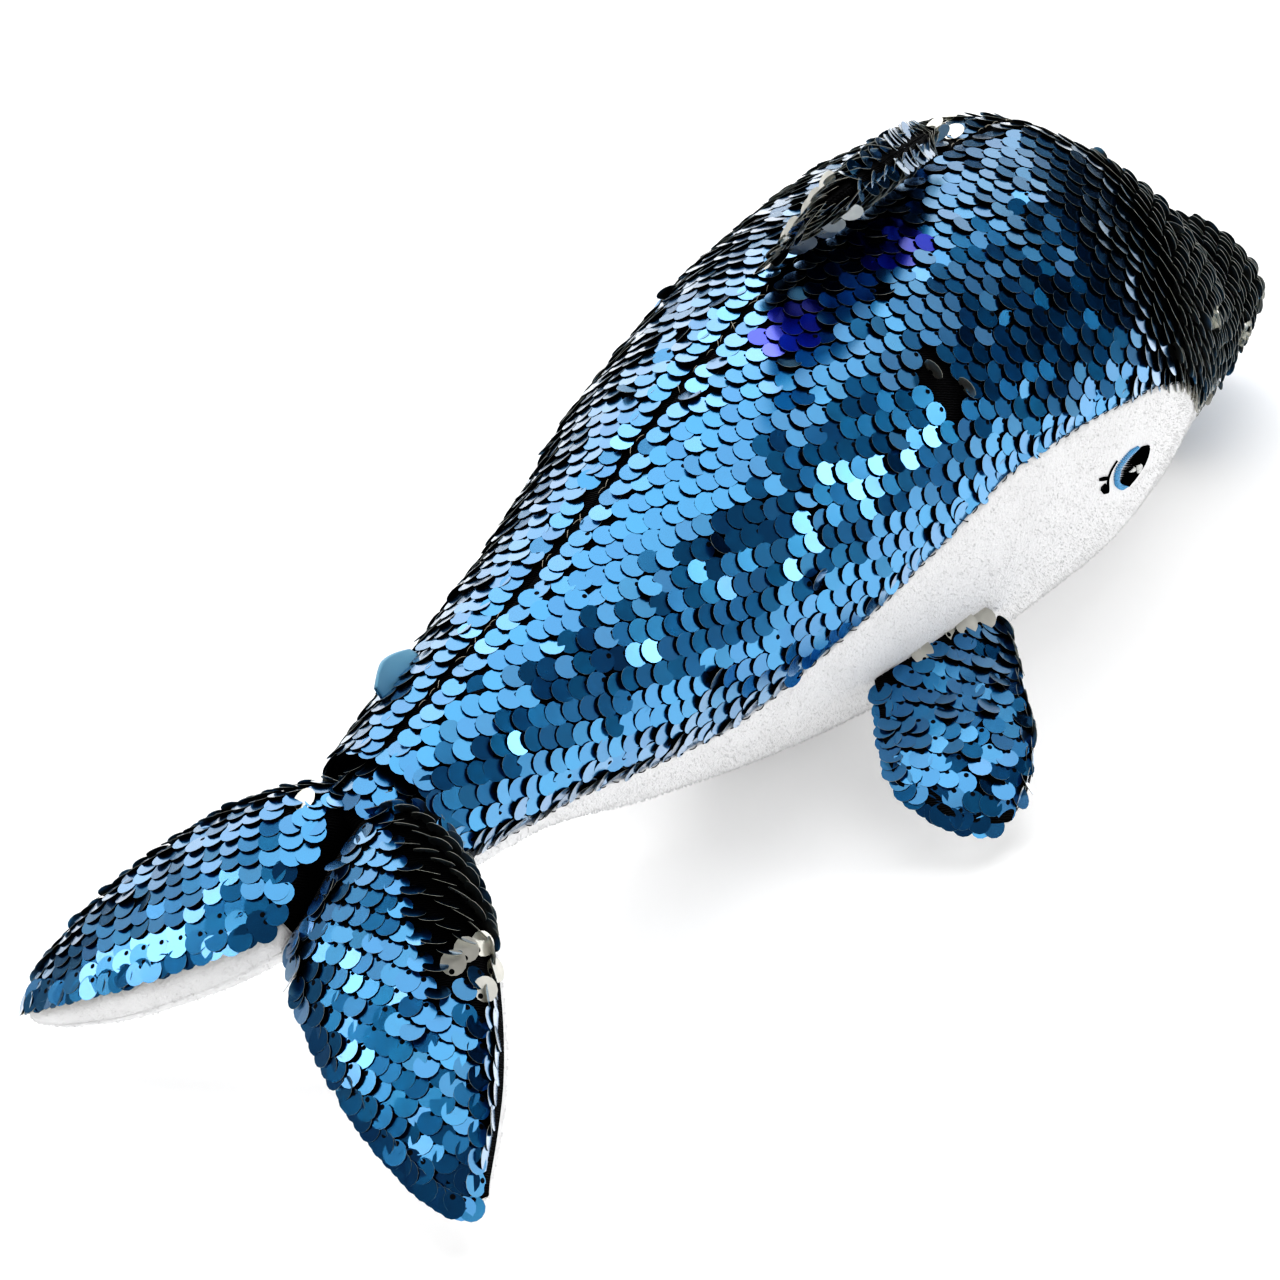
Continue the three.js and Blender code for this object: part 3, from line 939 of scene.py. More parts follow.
@dataclass
class Body:
    """The stuffed body: two sequin back panels over a plush belly, closed by a sequin beak.

    Attributes:
        stations: From tail crease to beak tip: place, half width, top, middle and bottom
            heights, and degrees round from the back to the side seam.
        roundness: Power of the belly's curve, 2 being an ellipse.
        back_seam: Width of the bare strip along the back.
        seam_depth: How far seams draw the cloth in.
        seam_reach: How far from a seam the cloth is drawn in.
        tail_rounding: How far from the crease the tail end starts to round in.
        tail_opening: How much of the section is left at the crease.
        chin: Where the plush ends under the beak.
        knit_depth: How far the knit lies below the sequins' outer face.
        knit_thickness: The knit's own thickness.
        plush_thickness: The plush's thickness.
        head_start: Where sequins start to stand up towards the head, on the back.
        head_end: Where they stand fully, on the back.
        head_slant: How much further back that is for each metre down the flank.
        head_lift: Degrees that they stand up there.
        crown_lift: Degrees that they lie flatter on the shoulders, beside the back seam.
        strip: Width of the strip along the back that sequins leave bare.
        strip_catch: How far over the strip's middle a sequin may reach and still be drawn in.
        flare: Degrees that the lowest sequins stand off at the tail end.
        looseness: Usual stray in degrees of the sequins low on the tail.
        lies: How the sequins lie on each flank.
        turned: Places (along the body, degrees from the back) of sequins that are turned over.
        turned_lift: Degrees that those are raised.
        worn: Middle (s, y) and half length and width of a spot on the right that lost sequins.
        worn_lift: Degrees that the ones left there stand up.
        glows: Place, distance from the back seam and radius of spots on the right whose sequins take a
            painted reflection of their neighbours.
        columns: How many points go round a flank.
        back_stitches: Where the back seam's stitches start and end, and how many there are.
        side_stitches: Where a side seam's stitches start and end, and the step between them.
        stitch: A stitch's length.
        thread: Half the sewing thread's thickness.
        belly_area: Area that the belly's tufts are counted for.
        eye_clear: How far from an eye's middle the tufts start.
        nap: The way the belly's pile is brushed.
    """

    stations: Array = field(default_factory=lambda: np.array([
        (0, 18, 63.5, 47.5, 29, 118),
        (24, 23, 70, 49.5, 27, 121),
        (61, 31.5, 80.5, 51, 14, 118),
        (107, 44, 97, 54.5, 1, 96),
        (153, 52, 106.5, 57.5, -6, 82),
        (190, 56, 107.5, 59, -6, 86),
        (217, 48.5, 105.5, 57, -6, 101),
        (239, 39.5, 90, 51, -2, 117),
        (257, 31, 65, 40, 5, 112),
        (272, 25.5, 56.5, 35, 9, 122),
        (286, 18.5, 48.5, 31, 12, 150),
        (298, 11.5, 36, 25, 13, 180),
        (303, 7, 29, 22, 15, 180),
        (306, 0, 21, 21, 21, 180),
    ]) * [MM, MM, MM, MM, MM, 1])
    roundness: float = 1.7
    back_seam: float = 2 * MM
    seam_depth: float = 0.8 * MM
    seam_reach: float = 3.0 * MM
    tail_rounding: float = 3 * MM
    tail_opening: float = 0.92
    chin: float = 256 * MM
    knit_depth: float = 1.0 * MM
    knit_thickness: float = 1.0 * MM
    plush_thickness: float = 1.8 * MM
    head_start: float = 238 * MM
    head_end: float = 272 * MM
    head_slant: float = 0.78
    head_lift: float = 24.0
    crown_lift: float = 2.0
    strip: float = 1.0 * MM
    strip_catch: float = 1.6 * MM
    flare: float = 12.0
    looseness: float = 9.0
    lies: dict[Side, Lie] = by_side(Lie(180.0, -8.0, 40 * MM), Lie(183.0))
    turned: dict[Side, list[Pair]] = by_side(
        [(235 * MM, 86), (270 * MM, 108), (272 * MM, 118), (301 * MM, 108)],
        [(206 * MM, 4), (214 * MM, 16)],
    )
    turned_lift: float = 160.0
    worn: tuple[float, float, float, float] = (148 * MM, 46 * MM, 3.6 * MM, 9 * MM)
    worn_lift: float = 85.0
    glows: tuple[tuple[float, float, float], ...] = (
        (127 * MM, 13 * MM, 8 * MM), (160 * MM, 14 * MM, 9 * MM))
    columns: int = 121
    back_stitches: tuple[float, float, int] = (4 * MM, 292 * MM, 70)
    side_stitches: tuple[float, float, float] = (6 * MM, 246 * MM, 3.2 * MM)
    stitch: float = 2.4 * MM
    thread: float = 0.11 * MM
    belly_area: float = 0.042
    eye_clear: float = 9 * MM
    nap: tuple[float, float, float] = (-1.0, 0, -0.2)

    def __post_init__(self) -> None:
        """Lays out the rows and measures each flank from back to belly."""
        crowd = np.linspace(1, 0, 40)[1:] ** 1.7
        tip = self.stations[-1, 0]
        trunk = np.linspace(0.3 * MM, self.chin, 120)
        self.rows = np.concatenate([trunk, tip - (tip - self.chin) * crowd])
        self.rows[-1] = tip - 0.05 * MM
        self.flanks = {side: self.flank(side) for side in Side}

    def line(self, column: int, x: Array) -> Array:
        """One of the stations' sizes at places along the body."""
        return smooth_line(self.stations[:, 0], self.stations[:, column], x)

    def skin(self, x: Array, angle: Array, side: Side) -> Array:
        """Points on the body's surface.

        Round a section, the width follows the sine of the angle and the height its cosine.
        Below the middle both are raised to the power 2 over the roundness. The lowest part is
        cut flat where the toy rests, and seams draw the surface in by a bell curve.

        Args:
            x: Places along the body from the tail crease.
            angle: Degrees round from the back.
            side: Which flank.

        Returns:
            The points, in the frame's axes.
        """
        x, angle = np.broadcast_arrays(x, angle)
        turn = np.radians(angle)
        power = np.where(angle > 90, 2 / self.roundness, 1)
        across = np.clip(np.sin(turn), 0, 1) ** power
        up = np.sign(np.cos(turn)) * np.abs(np.cos(turn)) ** power
        width, top, middle, bottom, seam = (self.line(k, x) for k in range(1, 6))
        width = width + self.back_seam / 2 * np.minimum(width / (5 * MM), 1)
        reach = np.where(angle > 90, middle - bottom, top - middle)
        short = np.clip(1 - x / self.tail_rounding, 0, 1)
        closing = self.tail_opening + (1 - self.tail_opening) * np.sqrt(1 - short**2)
        width, reach = width * closing, reach * closing
        on_back = np.exp(-((turn * width / self.seam_reach) ** 2))
        on_side = np.exp(-((np.radians(angle - seam) * width / self.seam_reach) ** 2))
        on_side = on_side * (x < self.chin)
        drawn = 1 - self.seam_depth * (on_back + 0.8 * on_side) / np.maximum(width, 6 * MM)
        lumps = np.sin(x * 190 + 2 * turn) * np.sin(3 * turn + x * 60) * 0.4 * MM
        y = side.value * across * (width * drawn + lumps * ease(0, 20 * MM, width))
        z = np.maximum(middle + reach * up * drawn, 0)
        return np.stack([x + joint_place("tail_pitch")[0], y, z], axis=-1)

    def seam(self, x: Array) -> Array:
        """Degrees round from the back to the side seam."""
        return np.where(x >= self.chin, 180.0, self.line(5, x))

    def axis(self, x: Array) -> Array:
        """Points in the middle of the body, which its surface faces away from."""
        flat = np.zeros_like(x)
        return np.stack([x + joint_place("tail_pitch")[0], flat, self.line(3, x)], axis=-1)

    def panel(self, angles: Array, side: Side) -> Patch:
        """Cloth along a whole flank, at those degrees round from the back."""
        points = self.skin(self.rows[:, None], angles, side)
        return Patch(points, self.axis(self.rows)[:, None], 0)

    def flank(self, side: Side) -> Patch:
        """One whole side from the back seam to the middle of the belly."""
        return self.panel(np.linspace(0, 180, self.columns)[None], side)

    def spot(self, side: Side, x: float, angle: float) -> Pair:
        """The flat-cloth place of a point on a flank.

        Args:
            side: Which flank.
            x: Place along the body from the tail crease.
            angle: Degrees round from the back.

        Returns:
            Its s and y.
        """
        patch = self.flanks[side]
        row = np.interp(x, self.rows, np.arange(len(self.rows)))
        s = np.interp(row, np.arange(len(patch.s)), patch.s)
        y = np.interp(angle, np.linspace(0, 180, self.columns), patch.y[int(round(row))])
        return float(s), float(y)

    def back_patch(self, side: Side) -> Patch:
        """The part of a flank that is sequin cloth."""
        return self.panel(np.linspace(0, 1, 60)[None] * self.seam(self.rows)[:, None], side)

    def belly_patch(self) -> Patch:
        """The plush from one side seam under the belly to the other.

        Returns:
            Both sides as one patch, its guide down the middle.
        """
        rows = self.rows[self.rows < self.chin - 1e-6]
        share = np.linspace(0, 1, 49)[None]
        seam = self.seam(rows)[:, None]
        halves = {side: self.skin(rows[:, None], seam + (180 - seam) * share, side) for side in Side}
        points = np.concatenate([halves[Side.RIGHT], halves[Side.LEFT][:, -2::-1]], axis=1)
        return Patch(points, self.axis(rows)[:, None], 48)

    def build_cloth(self, finishes: Finishes) -> None:
        """Makes the knit under the sequins and the plush belly.

        Args:
            finishes: The toy's finishes.
        """
        for side in Side:
            patch = self.back_patch(side)
            deep = self.knit_depth + self.knit_thickness
            mesh = cloth_sheet(patch.sunk(self.knit_depth), patch.sunk(deep), patch.flat())
            piece = mesh.piece(f"{side.word}_back_cloth", [finishes.knit], tidy=True)
            sew(piece, "body", "sequin_cloth", f"{side.word}_back_panel", fill=0.85)
        patch = self.belly_patch()
        outer = patch.points.copy()
        outer[..., 2] = np.maximum(outer[..., 2], 0.2 * MM)
        inner = patch.sunk(self.plush_thickness)
        inner[..., 2] = np.maximum(inner[..., 2], self.plush_thickness)
        mesh = cloth_sheet(outer, inner, patch.flat())
        piece = mesh.piece("belly_plush", [finishes.plush], tidy=True)
        sew(piece, "body", "white_plush", "belly_panel", "body_fill", fill=0.85)

    def build_sequins(self, bench: Bench) -> None:
        """Covers both back panels and the beak with sequins.

        Rows over each flank are drawn in along the back seam, joined by single rows along the
        other edges, and raised where the cloth is squeezed, worn or turned.

        Args:
            bench: What the toy is made with.
        """
        rows, chance = bench.rows, bench.chance
        for side in Side:
            patch, lie, near_side = self.flanks[side], self.lies[side], side is Side.RIGHT
            s, y, heading = rows.lattice(patch, lie)
            edge = np.interp(s, patch.s, self.seam_reach_of(patch))
            middle = y + rows.hole_reach * heading[:, 1]
            margin = middle - rows.radius
            keep = (margin > -self.strip_catch) & (middle + 0.7 * rows.radius < edge)
            drawn_in = self.strip / 2 + 0.15 * (margin + self.strip_catch) - margin
            y = y + np.where(margin < 2 * self.strip_catch, drawn_in, 0)
            grids = zip((s, y, heading), self.edging(patch, rows, lie))
            s, y, heading = (np.concatenate([grid[keep], extra]) for grid, extra in grids)
            found = patch.locate(s, y)
            x = np.interp(found["row"], np.arange(len(self.rows)), self.rows)
            keep = (found["column"] * self.column_step() < 179) & (x < self.stations[-1, 0] - 0.4 * MM)
            worn_s, worn_y, half_length, half_width = self.worn
            worn = near_side & (np.hypot((s - worn_s) / half_length, (y - worn_y) / half_width) < 1)
            keep &= ~(worn & (np.arange(len(s)) % 3 > 0))
            found = {name: values[keep] for name, values in found.items()}
            s, y, heading, x, worn = s[keep], y[keep], heading[keep], x[keep], worn[keep]
            lift = np.where(worn, self.worn_lift, self.lift(lie, x, y))
            past = y - np.interp(s, patch.s, self.seam_reach_of(patch))
            lift += self.flare * (1 - ease(5 * MM, 14 * MM, s)) * ease(-7 * MM, -2 * MM, past)
            lift += self.flare * (1 - ease(1 * MM, 4 * MM, s))
            loose = (1 - ease(40 * MM, 75 * MM, s)) * ease(-17 * MM, -6 * MM, past)
            lift += chance.normal(0, self.looseness, len(s)) * loose
            for place, round_from_back in self.turned[side]:
                at = self.spot(side, place, round_from_back)
                lift[np.argmin(np.hypot(s - at[0], y - at[1]))] = self.turned_lift
            # Painted reflection: sequins in these spots beside the fin's shadow take the purplish front
            # tone, standing in for light bounced between sequins.
            glows = [np.hypot(x - place, y - down) < radius for place, down, radius in self.glows]
            violet = near_side & np.any(glows, axis=0)
            mesh = rows.mesh(found, heading, lift, chance, violet)
            piece = mesh.piece(f"{side.word}_back_sequins", bench.finishes.sequin, smooth=False)
            sew(piece, "body", "sequin_cloth")

    def lift(self, lie: Lie, x: Array, y: Array) -> Array:
        """How far sequins stand off the cloth: flat on the shoulders and upright on the head.

        Args:
            lie: How they lie on the flank.
            x: Their places along the body from the tail crease.
            y: Their distances from the back seam.

        Returns:
            Degrees for each.
        """
        crown = ease(150 * MM, 180 * MM, x) * (1 - ease(22 * MM, 45 * MM, y))
        ahead = x + self.head_slant * np.minimum(y, 62 * MM)
        head = ease(self.head_start, self.head_end, ahead)
        return lie.lift - self.crown_lift * crown + self.head_lift * head

    def edging(self, patch: Patch, rows: SequinRows, lie: Lie) -> tuple[Array, Array, Array]:
        """Sequins close along the side seam and round the tail end, which the rows leave bare.

        Args:
            patch: The whole flank.
            rows: The sequins' sizes.
            lie: How the rows lie.

        Returns:
            The holes' places s and y, and their headings as rows of two shares.
        """
        end = np.interp(self.chin, self.rows, patch.s)
        reach = self.seam_reach_of(patch)
        s = np.arange(3 * MM, end - 4 * MM, 0.95 * rows.row_pitch)
        y = np.interp(s, patch.s, reach) - 1.6 * MM
        fringe = np.arange(rows.radius, reach[0] - rows.radius, 0.85 * rows.pitch)
        s = np.concatenate([s, np.full(len(fringe), 1.5 * MM)])
        y = np.concatenate([y, fringe])
        turn = np.radians(lie.heading) + lie.bend * (y - lie.bend_about)
        return s, y, np.column_stack([np.cos(turn), np.sin(turn)])

    def column_step(self) -> float:
        """Degrees from one of a flank's columns to the next."""
        return 180 / (self.columns - 1)

    def seam_reach_of(self, patch: Patch) -> Array:
        """How far across the flat cloth the side seam lies.

        Args:
            patch: The whole flank.

        Returns:
            The seam's y for each row.
        """
        column = self.seam(self.rows) / self.column_step()
        first = np.clip(column.astype(int), 0, patch.y.shape[1] - 2)
        pick = np.arange(len(self.rows))
        part = column - first
        return patch.y[pick, first] * (1 - part) + patch.y[pick, first + 1] * part

    def build_pile(self, bench: Bench, eyes: list[Array]) -> None:
        """Stands tufts on the belly, apart from under the eyes.

        Args:
            bench: What the toy is made with.
            eyes: The middles of the eyes.
        """
        patch = self.belly_patch()
        points, normals = patch.scatter(int(bench.pile.density * self.belly_area), bench.chance)
        keep = points[:, 2] > 0.8 * MM
        for eye in eyes:
            keep &= np.linalg.norm(points - eye, axis=1) > self.eye_clear
        points, normals = points[keep], normals[keep]
        nap = self.nap - normals * (normals @ self.nap)[:, None]
        mesh = bench.pile.mesh(points, normals, nap, bench.chance)
        sew(mesh.piece("belly_pile", [bench.finishes.pile]), "body", "white_plush")

    def build_seams(self, bench: Bench) -> None:
        """Sews the back seam and both side seams with short stitches.

        Args:
            bench: What the toy is made with.
        """
        finishes, chance = bench.finishes, bench.chance
        x = np.sort(chance.uniform(*self.back_stitches))
        self.stitches("dorsal_seam_stitches", Side.RIGHT, x, np.zeros_like(x), finishes.clear, chance)
        x = np.arange(*self.side_stitches)
        for side in Side:
            name = f"{side.word}_side_seam_stitches"
            self.stitches(name, side, x, self.seam(x), finishes.black, chance)

    def stitches(self, name: str, side: Side, x: Array, angle: Array,
                 finish: Material, chance: Generator) -> None:
        """Short slanting stitches along a seam, each a thread in a low arch.

        Args:
            name: The piece's name; its CAD thread has the same stem.
            side: Which flank the seam is on.
            x: The stitches' places along the body.
            angle: Degrees round from the back at each place.
            finish: The thread's finish.
            chance: The seeded random numbers.
        """
        share = np.linspace(-0.5, 0.5, 6)
        along = x[:, None] + share * self.stitch
        slant = chance.normal(0, 1.0, (len(x), 1)) * share
        turn = np.abs(angle[:, None] + slant * 60 * MM / np.maximum(self.line(1, x)[:, None], 6 * MM))
        paths = self.skin(along, np.broadcast_to(turn, along.shape), side)
        if side is Side.RIGHT and not angle.any():
            paths[..., 1] = slant * 1.4 * MM
        outward = unit(paths - self.axis(along))
        paths = paths + outward * (0.25 - 2.2 * share**2)[None, :, None] * MM
        mesh = thread_strands(paths, self.thread, 5)
        piece = mesh.piece(name, [finish], tidy=True)
        sew(piece, "body", "black_thread", name.replace("stitches", "thread"))


@dataclass
class Limb:
    """A flat stuffed limb: a fluke, a flipper or the fin.

    Attributes:
        name: The limb's name, which its body shares.
        origin: The middle of its root.
        along: The direction of its root seam.
        outward: The direction from root to tip.
        up: Whether along cross outward points up (1) or down (-1).
        outline: From root to tip: reach, front edge, rear edge, thickness and lift.
        faces: What the nodes call each sewn half's panel.
        lies: How the sequins lie on each sequined half.
        wrap: Shares of the chord, from the front edge, where the top cloth starts and ends; the
            underside wraps up over the rest.
        turned: Places (reach, along) of sequins that are turned over.
        turned_lift: Degrees that those are raised.
        root_turned: Share of the sequins along the root that are turned over.
        root_row: How far along the guide the root's own row is, or nothing without one.
        root_stray: Degrees that those free edges wander.
        edge_stray: Degrees that the free edges along both sides wander.
        root_bare: How far along the guide the other rows start.
        bristle: Where sequins are squeezed upright: shares of the chord from the front edge, at the
            root and at the band's end, reach of its end, and the degrees that they are raised.
        overhang: How far the sequins at the rear edge stand over the plush that wraps up there.
        bends_from: The body that the root stays with, or nothing; with one, the limb's pieces are left
            unparented at their places.
        bend_span: Reaches between which the root would bend; not used.
        swing: Degrees that the free edges turn for each metre along the guide.
        edge: Thickness of the sewn edge.
        front_lean: Power that brings the thickest part forward.
        fullness: Power that flattens the crown.
    """

    name: str
    origin: Array
    along: Array
    outward: Array
    up: int
    outline: Array
    faces: dict[Face, str]
    lies: dict[Face, Lie]
    wrap: Pair = (0.0, 1.0)
    turned: list[Pair] = field(default_factory=list)
    turned_lift: float = 163.0
    root_turned: float = 0.0
    root_row: float | None = None
    root_stray: float = 10.0
    edge_stray: float = 6.0
    root_bare: float = 0.0
    bristle: tuple[float, float, float, float] = (0.0, 0.0, 0.0, 0.0)
    overhang: float = 0.0
    bends_from: str | None = None
    bend_span: Pair = (1 * MM, 16 * MM)
    swing: float = 0.0
    edge: float = 0.8 * MM
    front_lean: float = 0.65
    fullness: float = 0.6

    def __post_init__(self) -> None:
        """Squares the limb's frame and closes its tip."""
        self.along = unit(self.along)
        outward = self.outward - self.along * (self.outward @ self.along)
        self.outward = unit(outward)
        self.normal = np.cross(self.along, self.outward) * self.up
        last = self.outline[-1]
        middle = (last[1] + last[2]) / 2
        half = np.sign(last[1] - last[2]) * 0.3 * MM
        tip = (last[0] + 1.6 * MM, middle + half, middle - half, 0.6 * MM, last[4])
        self.outline = np.vstack([self.outline, tip])

    def chords(self, face: Face, columns: int) -> tuple[Array, Array]:
        """Where each column of a half lies.

        Args:
            face: Which half.
            columns: How many points cross the limb.

        Returns:
            Each column's share of the chord, and 1 on the upper side or -1 on the lower.
        """
        across = (1 - np.cos(np.linspace(0, np.pi, columns))) / 2
        first, last = self.wrap
        if face is Face.TOP:
            return first + (last - first) * across, np.ones(columns)
        fold = np.linspace(0, 1, 7)[:-1]
        front = first * (1 - fold) if first > 0 else fold[:0]
        rear = 1 - (1 - last) * (1 - fold[::-1]) if last < 1 else fold[:0]
        return (np.concatenate([front, across, rear]),
                np.concatenate([np.ones(len(front)), -np.ones(columns), np.ones(len(rear))]))

    def surface(self, face: Face, depth: float = 0.0, rows: int = 46, columns: int = 41) -> Patch:
        """One sewn half of the limb's cover.

        Across the chord from front to rear edge, the half thickness follows a sine to the
        fullness power, with its crown brought forward, above the edge's own thickness.

        Args:
            face: Which half.
            depth: How far in from the cover, as a share of the way to the middle.
            rows: How many rows from root to tip.
            columns: How many points cross the limb.

        Returns:
            The half as a patch, its guide down the middle.
        """
        reach = self.outline[:, 0]
        share = np.linspace(0, 1, rows)
        b = reach[0] + (reach[-1] - reach[0]) * (1 - (1 - share) ** 1.3)
        lead, trail, thick, lift = (smooth_line(reach, self.outline[:, k], b)[:, None] for k in range(1, 5))
        chord, sign = self.chords(face, columns)
        swell = np.clip(np.sin(np.pi * chord**self.front_lean), 0, 1) ** self.fullness
        half = (self.edge + (thick - self.edge) * swell) / 2
        a = lead + (trail - lead) * chord
        level = self.origin + a[..., None] * self.along + b[:, None, None] * self.outward
        points = level + (lift + (1 - depth) * sign * half)[..., None] * self.normal
        behind = level + (lift[..., None] - face.value * 20 * MM) * self.normal
        return Patch(points, behind, len(chord) // 2)

    def attach(self, piece: Object, slot: str, *nodes: str, fill: float | None = None) -> None:
        """Fixes a piece to the limb, or, where the root stays with another body, leaves it unparented with
        its place baked in.

        Args:
            piece: The piece.
            slot: The record's material slot that it takes its finish from.
            nodes: The frame's nodes that it stands for.
            fill: How tightly it is stuffed, for a padded piece.
        """
        if self.bends_from is None:
            sew(piece, self.name, slot, *nodes, fill=fill)
            return
        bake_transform(piece)
        dress(piece, slot, *nodes, fill=fill)

    def build(self, bench: Bench) -> None:
        """Makes both halves with their sequins or pile.

        Args:
            bench: What the toy is made with.
        """
        for face, panel in self.faces.items():
            patch, core = self.surface(face), self.surface(face, 0.9).points
            nodes = [f"{self.name}_{panel}_panel"]
            if face is Face.TOP:
                nodes.append(f"{self.name}_fill")
            outer, kind, finish, slot = patch.points, "plush", bench.finishes.plush, "white_plush"
            if face in self.lies:
                deep = np.minimum(0.9 * MM, 0.4 * np.linalg.norm(patch.points - core, axis=2))
                outer = patch.points - deep[..., None] * patch.normals
                kind, finish, slot = "cloth", bench.finishes.knit, "sequin_cloth"
            mesh = cloth_sheet(outer, core, patch.flat())
            piece = mesh.piece(f"{self.name}_{panel}_{kind}", [finish], tidy=True)
            self.attach(piece, slot, *nodes, fill=0.8)
            cover = self.build_sequins if face in self.lies else self.build_pile
            cover(face, patch, bench)

    def border(self, patch: Patch, lie: Lie, bench: Bench) -> tuple[Array, ...]:
        """Sequins along the root and both edges, which the rows leave bare.

        Args:
            patch: The sequined half.
            lie: How the rows lie.
            bench: What the toy is made with.

        Returns:
            The holes' places s and y, their headings as rows of two shares, and their lifts.
        """
        rows, chance = bench.rows, bench.chance
        s = np.arange(self.root_bare + 1.5 * MM, patch.s[-1] - 3 * MM, 0.8 * rows.row_pitch)
        line = patch.row_of(s)
        low, high = (np.interp(line, np.arange(len(patch.s)), patch.y[:, k]) for k in (0, -1))
        root = np.arange(patch.y[0, 0] + 2 * MM, patch.y[0, -1] - 2 * MM, 0.9 * rows.pitch)
        root = root[:0] if self.root_row is None else root
        all_s = np.concatenate([s, s, (self.root_row or 0.0) + chance.normal(0, 1.2 * MM, len(root))])
        all_y = np.concatenate([low + 0.9 * MM, high - 0.9 * MM, root])
        wander = np.concatenate([
            chance.normal(0, self.edge_stray, 2 * len(s)),
            chance.normal(0, self.root_stray, len(root)),
        ])
        turn = np.radians(lie.heading + wander)
        lift = np.full(len(all_s), lie.lift * 0.5)
        over = chance.random(len(root)) < self.root_turned
        lift[2 * len(s):] = np.where(over, chance.uniform(140, 170, len(root)), lie.lift + 4)
        return all_s, all_y, np.column_stack([np.cos(turn), np.sin(turn)]), lift

    def build_sequins(self, face: Face, patch: Patch, bench: Bench) -> None:
        """Covers one half with sequins, the last ones standing over its edge.

        Args:
            face: Which half.
            patch: Its cloth.
            bench: What the toy is made with.
        """
        lie = self.lies[face]
        s, y, heading = bench.rows.lattice(patch, lie)
        found = patch.locate(s, y)
        keep = (y > found["low"] + 0.5 * MM) & (y < found["high"] - 0.5 * MM)
        keep &= (s < patch.s[-1] - 1 * MM) & (s > self.root_bare)
        body = (s[keep], y[keep], heading[keep], np.full(keep.sum(), lie.lift))
        border = self.border(patch, lie, bench)
        s, y, heading, lift = (np.concatenate(pair) for pair in zip(body, border))
        turn = np.radians(self.swing * (s - 0.4 * patch.s[-1]))[:, None]
        heading = heading * np.cos(turn) + heading[:, ::-1] * [-1, 1] * np.sin(turn)
        found = patch.locate(s, y)
        inward = found["point"] - self.origin
        first, last, far, raised = self.bristle
        columns = np.arange(patch.y.shape[1])
        chord = np.interp(found["column"], columns, self.chords(face, len(columns))[0])
        over = self.overhang * ease(self.wrap[1] - 0.16, self.wrap[1] - 0.03, chord)
        found["point"] = found["point"] + over[:, None] * found["normal"]
        out, beside = inward @ self.outward, inward @ self.along
        limit = first + (last - first) * out / max(far, MM)
        upright = (1 - ease(-0.06, 0.06, chord - limit)) * (1 - ease(-6 * MM, 4 * MM, out - far))
        lift = lift + (raised - lift) * upright * (raised > 0)
        for reach, along in self.turned:
            lift[np.argmin(np.hypot(out - reach, beside - along))] = self.turned_lift
        mesh = bench.rows.mesh(found, heading, lift, bench.chance)
        name = f"{self.name}_{self.faces[face]}_sequins"
        self.attach(mesh.piece(name, bench.finishes.sequin, smooth=False), "sequin_cloth")

    def build_pile(self, face: Face, patch: Patch, bench: Bench) -> None:
        """Stands tufts on one plush half, brushed towards the tip.

        Args:
            face: Which half.
            patch: Its cloth.
            bench: What the toy is made with.
        """
        area = np.ptp(patch.s) * np.ptp(patch.y) * 0.7
        points, normals = patch.scatter(int(bench.pile.density * area), bench.chance)
        nap = self.outward - normals * (normals @ self.outward)[:, None]
        mesh = bench.pile.mesh(points, normals, nap, bench.chance)
        name = f"{self.name}_{self.faces[face]}_pile"
        self.attach(mesh.piece(name, [bench.finishes.pile]), "white_plush")


